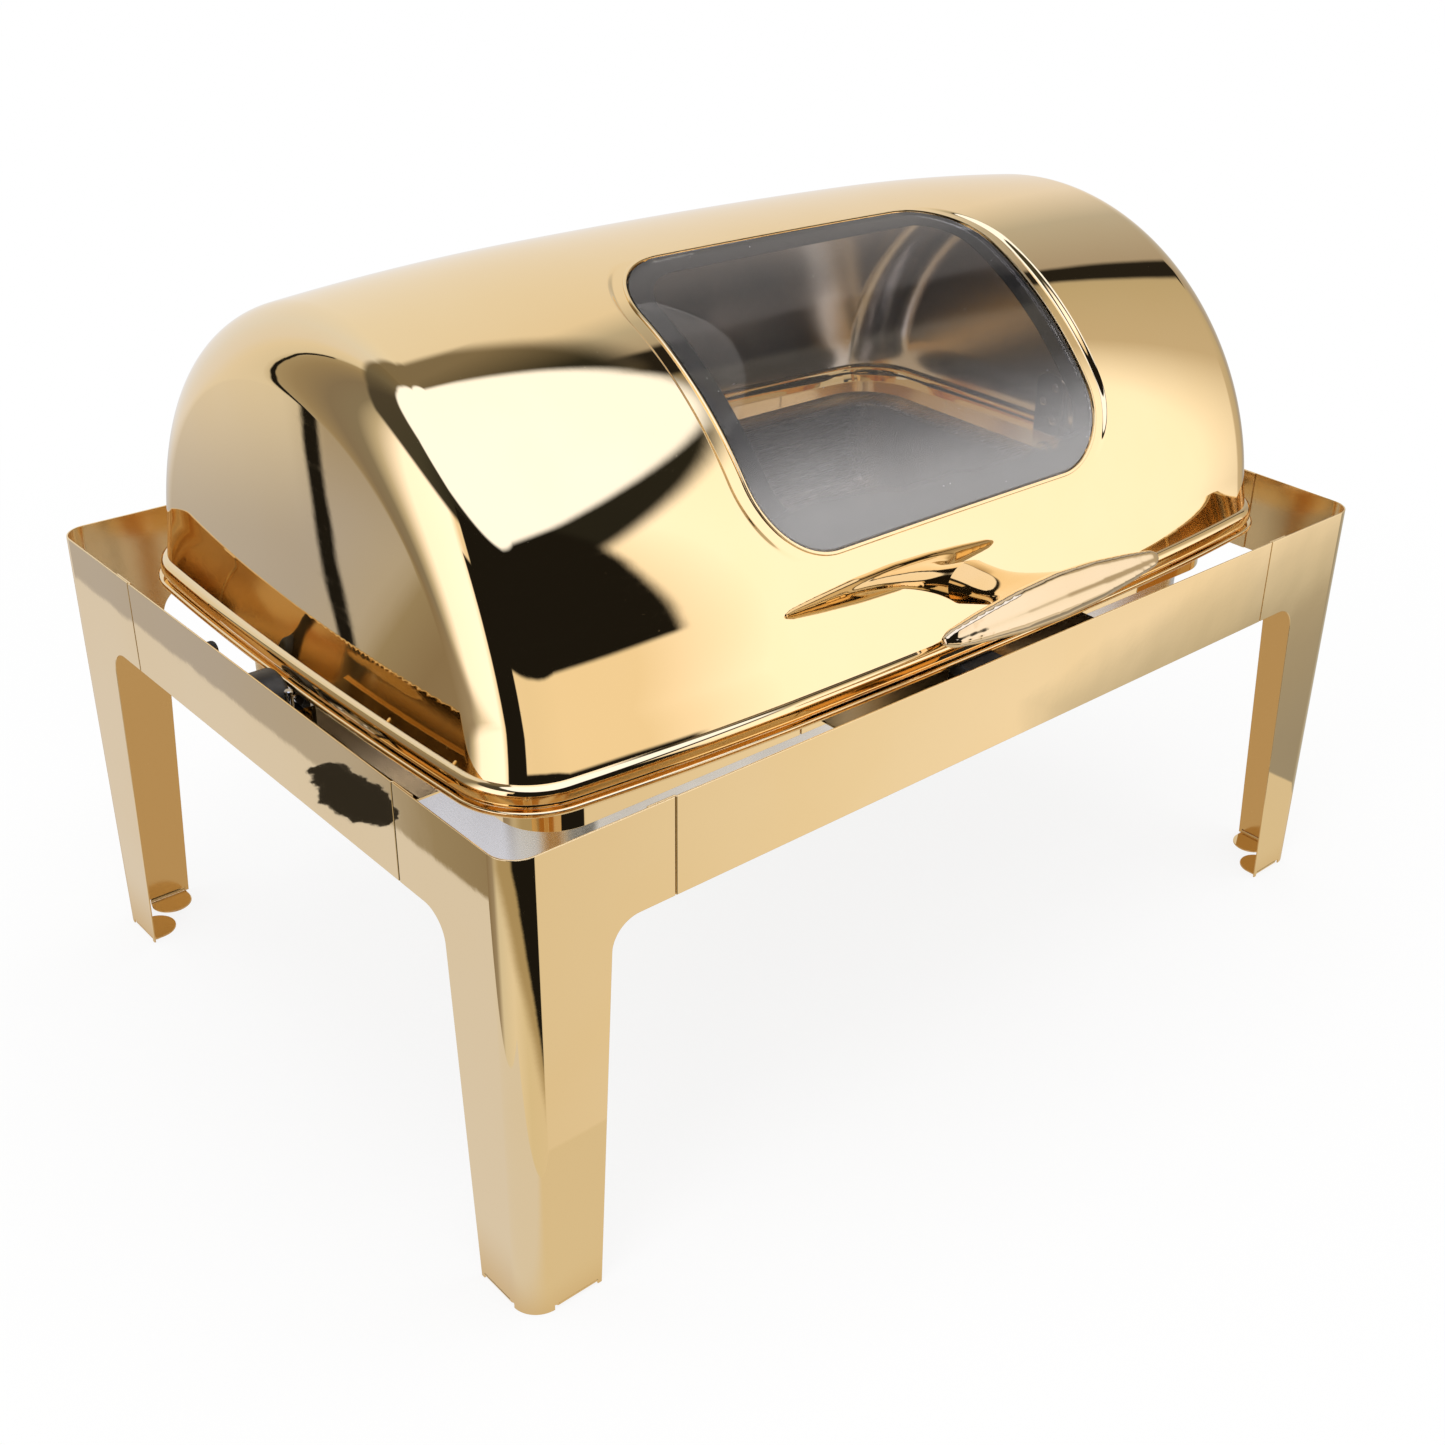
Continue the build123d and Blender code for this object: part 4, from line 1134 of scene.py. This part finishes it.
# ---- studio -------------------------------------------------------------------------------
def painted_table_reflection(n, place):
    """The table as mirrors see it, and where it is: past its edges they see the room.

    Its glow is a painted reflection: brown painted shade under the stand, paler painted light in
    front and cool at the left, with one painted dark blotch."""
    x, y, _ = n.add("SeparateXYZ", {0: place}).outputs
    # painted shade: brown under the stand; painted light: paler in front of it and cool at its left
    shade = n.mix(n.ramp(y, -0.19, -0.23), (0.58, 0.46, 0.30, 1), (0.72, 0.66, 0.56, 1))
    shade = n.mix(n.ramp(x, -0.31, -0.35), shade, (0.72, 0.72, 0.78, 1))
    # one ragged painted dark reflection, near the table's left edge
    blot = n.vector("ADD", place, (0.510, -0.278, 0))
    blot = n.add("Mapping", {"Vector": blot, "Scale": (1.0, 0.42, 1.0)}).outputs[0]
    blot = n.vector("LENGTH", blot)
    ragged = n.math("MULTIPLY_ADD", n.noise(place, 30.0, 3.0, 0.6), 0.035, blot)
    blotch = n.ramp(ragged, 0.0365, 0.039, 1.0, 0.0)
    shade = n.mix(blotch, shade, (0.03, 0.028, 0.026, 1))
    inside = n.product(
        n.ramp(x, -0.513, -0.509), n.ramp(y, -0.308, -0.305),
        n.ramp(x, 0.412, 0.416, 1.0, 0.0), n.ramp(y, 0.9, 0.91, 1.0, 0.0),
    )
    return n.shader("Emission", Color=shade, Strength=1.0), n.math("MAXIMUM", inside, blotch)


def build_floor():
    """Pale table under the object: white to the camera, with the object's soft shadow."""
    size = 6.0
    corners = [(-size, -size, 0), (size, -size, 0), (size, size, 0), (-size, size, 0)]
    mesh = bpy.data.meshes.new("studio_floor")
    mesh.from_pydata(corners, [], [(0, 1, 2, 3)])
    floor = link("studio_floor", mesh)
    n = material("studio_floor")
    place = n.place()
    grain = n.mix(n.noise(place, 3.0, 2.0), (0.86, 0.86, 0.86, 1), (0.89, 0.89, 0.89, 1))
    lit = n.shader("BsdfDiffuse", Color=grain)
    white = n.shader("Emission", Color=(1, 1, 1, 1), Strength=1.0)
    path = n.add("LightPath").outputs
    away = n.ramp(n.vector("LENGTH", place), 0.3, 1.1, 0.84, 1.0)
    seen = n.blend(n.product(path["Is Camera Ray"], away), lit, white)
    # mirrors see the table's painted reflection, and the room past its edges
    table, inside = painted_table_reflection(n, place)
    painted_reflection = n.blend(inside, n.shader("BsdfTransparent"), table)
    n.surface(n.blend(path["Is Glossy Ray"], seen, painted_reflection))
    floor.data.materials.append(LOOKS["studio_floor"])


def height_curve(n, turn, stops):
    """Heights by heading, from pairs in degrees, as a part of 90 degrees."""
    node = n.add("FloatCurve", {"Value": turn})
    table = [(heading / 360, height / 90) for heading, height in stops]
    points = node.mapping.curves[0].points
    for point, place in zip(list(points), (table[0], table[-1])):
        point.location = place
    for x, y in table[1:-1]:
        points.new(x, y)
    for point in points:
        point.handle_type = "VECTOR"
    node.mapping.update()
    return node.outputs[0]


def heading_ramp(n, turn, stops):
    """Colours by heading, given as (degrees, colour) pairs from 0 to 360."""
    node = n.add("ValToRGB", {0: turn})
    ramp = node.color_ramp
    stops = [(heading / 360, (*colour, 1)) for heading, colour in stops]
    for element, (place, colour) in zip(ramp.elements, (stops[0], stops[-1])):
        element.position, element.color = place, colour
    for place, colour in stops[1:-1]:
        ramp.elements.new(place).color = colour
    return node.outputs[0]


WALLS = (                     # the room at eye level, by heading in degrees
    (0, (0.80, 0.83, 0.94)), (25, (0.86, 0.85, 0.86)), (55, (0.84, 0.79, 0.75)),
    (66, (0.52, 0.51, 0.50)), (84, (0.42, 0.38, 0.36)), (92, (0.53, 0.47, 0.36)),
    (110, (0.60, 0.53, 0.44)), (120, (1.22, 1.20, 1.22)), (146, (1.32, 1.28, 1.36)),
    (156, (0.95, 0.84, 0.70)), (205, (0.90, 0.80, 0.66)), (243, (0.93, 0.82, 0.70)),
    (250, (1.42, 1.40, 1.62)), (283, (1.35, 1.32, 1.50)), (297, (0.56, 0.53, 0.48)),
    (305, (0.25, 0.23, 0.20)), (315, (0.24, 0.21, 0.18)), (325, (0.33, 0.28, 0.21)),
    (329.8, (0.40, 0.35, 0.27)), (330.8, (0.74, 0.72, 0.70)), (338, (0.80, 0.77, 0.75)),
    (344, (0.80, 0.80, 0.88)), (360, (0.80, 0.83, 0.94)),
)
GROUND = (                    # the room's floor beyond the table, by heading
    (0, (0.55, 0.55, 0.60)), (60, (0.60, 0.60, 0.60)), (100, (0.45, 0.44, 0.42)),
    (118, (0.34, 0.33, 0.32)), (123.5, (0.40, 0.38, 0.35)), (125.3, (0.61, 0.59, 0.56)),
    (126.4, (0.62, 0.60, 0.57)), (126.9, (0.95, 0.89, 0.85)), (133, (0.88, 0.83, 0.77)),
    (143, (0.78, 0.72, 0.64)), (150, (0.74, 0.68, 0.58)), (205, (0.72, 0.67, 0.56)),
    (243, (0.80, 0.76, 0.70)), (285, (0.70, 0.68, 0.64)), (300, (0.34, 0.30, 0.26)),
    (325, (0.26, 0.21, 0.15)), (329.8, (0.34, 0.30, 0.23)), (330.8, (0.47, 0.45, 0.45)),
    (338, (0.45, 0.45, 0.52)), (360, (0.55, 0.55, 0.60)),
)
DARK_BAND = (                 # the band between the walls and the lit ceiling, by heading
    (0, (0.22, 0.19, 0.14)), (50, (0.22, 0.19, 0.145)), (75, (0.03, 0.03, 0.025)),
    (150, (0.02, 0.02, 0.018)), (230, (0.02, 0.02, 0.018)), (270, (0.06, 0.06, 0.05)),
    (310, (0.075, 0.068, 0.06)), (335, (0.165, 0.15, 0.12)), (360, (0.20, 0.17, 0.12)),
)
BAND_FOOT = (                 # heading and height of the band's lower edge, in degrees
    (0, 62), (30, 61), (45, 55), (58, 56), (75, 57.5), (90, 57.6), (120, 48.5),
    (135, 41), (150, 33), (180, 20), (240, 43), (300, 43), (315, 52), (330, 56), (360, 62),
)
CEILING_FOOT = (              # the same for the lit ceiling
    (0, 75), (30, 75), (45, 70), (60, 65), (90, 59), (120, 50), (150, 43), (180, 45),
    (240, 55), (270, 64), (300, 68), (330, 73), (360, 75),
)
CEILING = (1.25, 1.38, 1.85, 1)
BLACK, SOOT, BROWN = (0.012, 0.011, 0.010), (0.02, 0.018, 0.016), (0.42, 0.35, 0.23)


def build_world():
    """White to the camera, and to mirrors a room with a lit ceiling, bright walls and dark gaps."""
    studio = bpy.data.worlds.new("studio")
    bpy.context.scene.world = studio
    studio.use_nodes = True
    n = Nodes(studio.node_tree)
    direction = n.add("TexCoord").outputs["Generated"]
    x, y, z = n.add("SeparateXYZ", {0: direction}).outputs
    degrees = 180 / math.pi
    heading = n.product(n.math("ARCTAN2", x, y), degrees)
    heading = n.math("ADD", heading, n.product(n.math("LESS_THAN", heading, 0.0), 360.0))
    turn = n.math("DIVIDE", heading, 360.0)
    rise = n.product(n.math("ARCSINE", z), degrees)
    lift = n.math("DIVIDE", rise, 90.0)
    shift = n.ramp(n.noise(direction, 3.0, 2.0), 0.0, 1.0, -3.0, 3.0, "LINEAR")

    def above(value, edge, soft):
        return n.ramp(value, edge - soft / 2, edge + soft / 2)

    def below(value, edge, soft):
        return n.ramp(value, edge - soft / 2, edge + soft / 2, 1.0, 0.0)

    def patch(under, left, right, low, high, colour, soft_x=2.0, soft_y=2.0, lean=0.0, waver=0.3):
        """A soft-edged panel between two headings and two heights, over what is under it."""
        across = n.math("MULTIPLY_ADD", rise, lean, heading)
        across = n.math("MULTIPLY_ADD", shift, waver, across)
        up = n.math("MULTIPLY_ADD", shift, waver, rise)
        mask = n.product(
            above(across, left, soft_x), below(across, right, soft_x),
            above(up, low, soft_y), below(up, high, soft_y),
        )
        return n.mix(mask, under, (*colour, 1))

    def dagger(under, right, taper, colour, soft):
        """A hanging dark shape, straight on its left and tapering down from its right."""
        edge = n.math("MULTIPLY_ADD", n.math("ADD", rise, 33.5), taper, right)
        past = n.math("SUBTRACT", heading, n.math("MINIMUM", edge, right))
        mask = n.product(
            above(heading, 151, 2.0), below(past, 0.0, 2 * soft), below(rise, -24.0, 4.0)
        )
        return n.mix(mask, under, (*colour, 1))

    # the ground's colours drift with the height, so that its bounds lean in the legs' bends
    lean = n.math("MAXIMUM", n.math("MINIMUM", rise, -20.0), -28.0)
    lean = n.math("ADD", n.math("MULTIPLY_ADD", lean, 1.3, heading), 35.3)
    ground = heading_ramp(n, n.math("DIVIDE", lean, 360.0), GROUND)
    room = n.mix(n.ramp(rise, -22.0, -14.0, 1.0, 0.0), heading_ramp(n, turn, WALLS), ground)
    over_band = n.ramp(n.math("SUBTRACT", lift, height_curve(n, turn, BAND_FOOT)), -0.015, 0.03)
    room = n.mix(over_band, room, heading_ramp(n, turn, DARK_BAND))
    room = patch(room, 153, 241, 5, 50, BLACK, soft_x=1.5, lean=0.05)
    room = patch(room, 219, 244, -30, 30, BLACK, soft_x=1.5, lean=-0.08)
    room = patch(room, 329.5, 330.7, -30, 42, BLACK, soft_x=0.5, soft_y=3, waver=0.5)
    room = dagger(room, 290, 19.0, BROWN, 20.0)
    room = dagger(room, 232, 13.0, BLACK, 7.0)
    room = patch(room, 84, 90, 22, 45, SOOT, waver=0.8)
    room = patch(room, 80, 97, 40, 60, SOOT, soft_x=4.0, soft_y=4, waver=0.8)
    over_ceiling = n.math("SUBTRACT", lift, height_curve(n, turn, CEILING_FOOT))
    room = n.mix(n.ramp(over_ceiling, -0.01, 0.015), room, CEILING)

    path = n.add("LightPath").outputs
    mirror = n.shader("Background", Color=room, Strength=1.0)
    plain = n.shader("Background", Color=(1, 1, 1, 1), Strength=0.75)
    seen = n.shader("Background", Color=(1, 1, 1, 1), Strength=1.0)
    bounced = n.math("MAXIMUM", path["Is Glossy Ray"], path["Is Transmission Ray"])
    lit = n.blend(bounced, plain, mirror)
    n.surface(n.blend(path["Is Camera Ray"], lit, seen), "OutputWorld")


def add_lamp(name, place, aim, size, power):
    lamp = bpy.data.lights.new(name, "AREA")
    lamp.shape = "RECTANGLE"
    lamp.size, lamp.size_y = size
    lamp.energy = power
    obj = link(name, lamp)
    obj.location = place
    obj.rotation_euler = (Vector(aim) - Vector(place)).to_track_quat("-Z", "Y").to_euler()
    obj.visible_glossy = False
    obj.visible_camera = False


CAMERA_PLACE = (-670.7, -773.7, 697.6)
CAMERA_TURN = (-44.92, 28.06, 2.82)           # heading, tilt down and roll, in degrees
CAMERA_SENSOR = 36.0
CAMERA_LENS = 44.9439446
CAMERA_SHIFT = (-0.08823529, -0.02249135)     # in widths of the frame


def build_camera():
    """The photograph's view."""
    camera = bpy.data.cameras.new("camera")
    camera.sensor_width = CAMERA_SENSOR
    camera.lens = CAMERA_LENS
    camera.shift_x, camera.shift_y = CAMERA_SHIFT
    obj = link("camera", camera)
    obj.matrix_world = Matrix.Translation(Vector(world(CAMERA_PLACE)[0]))
    heading, tilt, roll = (math.radians(a) for a in CAMERA_TURN)
    for angle, axis in ((heading, "Z"), (math.pi / 2 - tilt, "X"), (roll, "Z")):
        obj.matrix_world @= Matrix.Rotation(angle, 4, axis)
    bpy.context.scene.camera = obj


build_camera()
build_materials()
build_stand()
build_lid()
build_pans()
build_floor()
build_world()
add_lamp("top_lamp", (0.0, -0.1, 1.6), (0, 0, 0.2), (1.6, 1.2), 12)
add_lamp("side_lamp", (-1.5, -0.6, 0.9), (0, 0, 0.25), (0.8, 1.2), 6)

bpy.context.scene.view_settings.view_transform = "Standard"
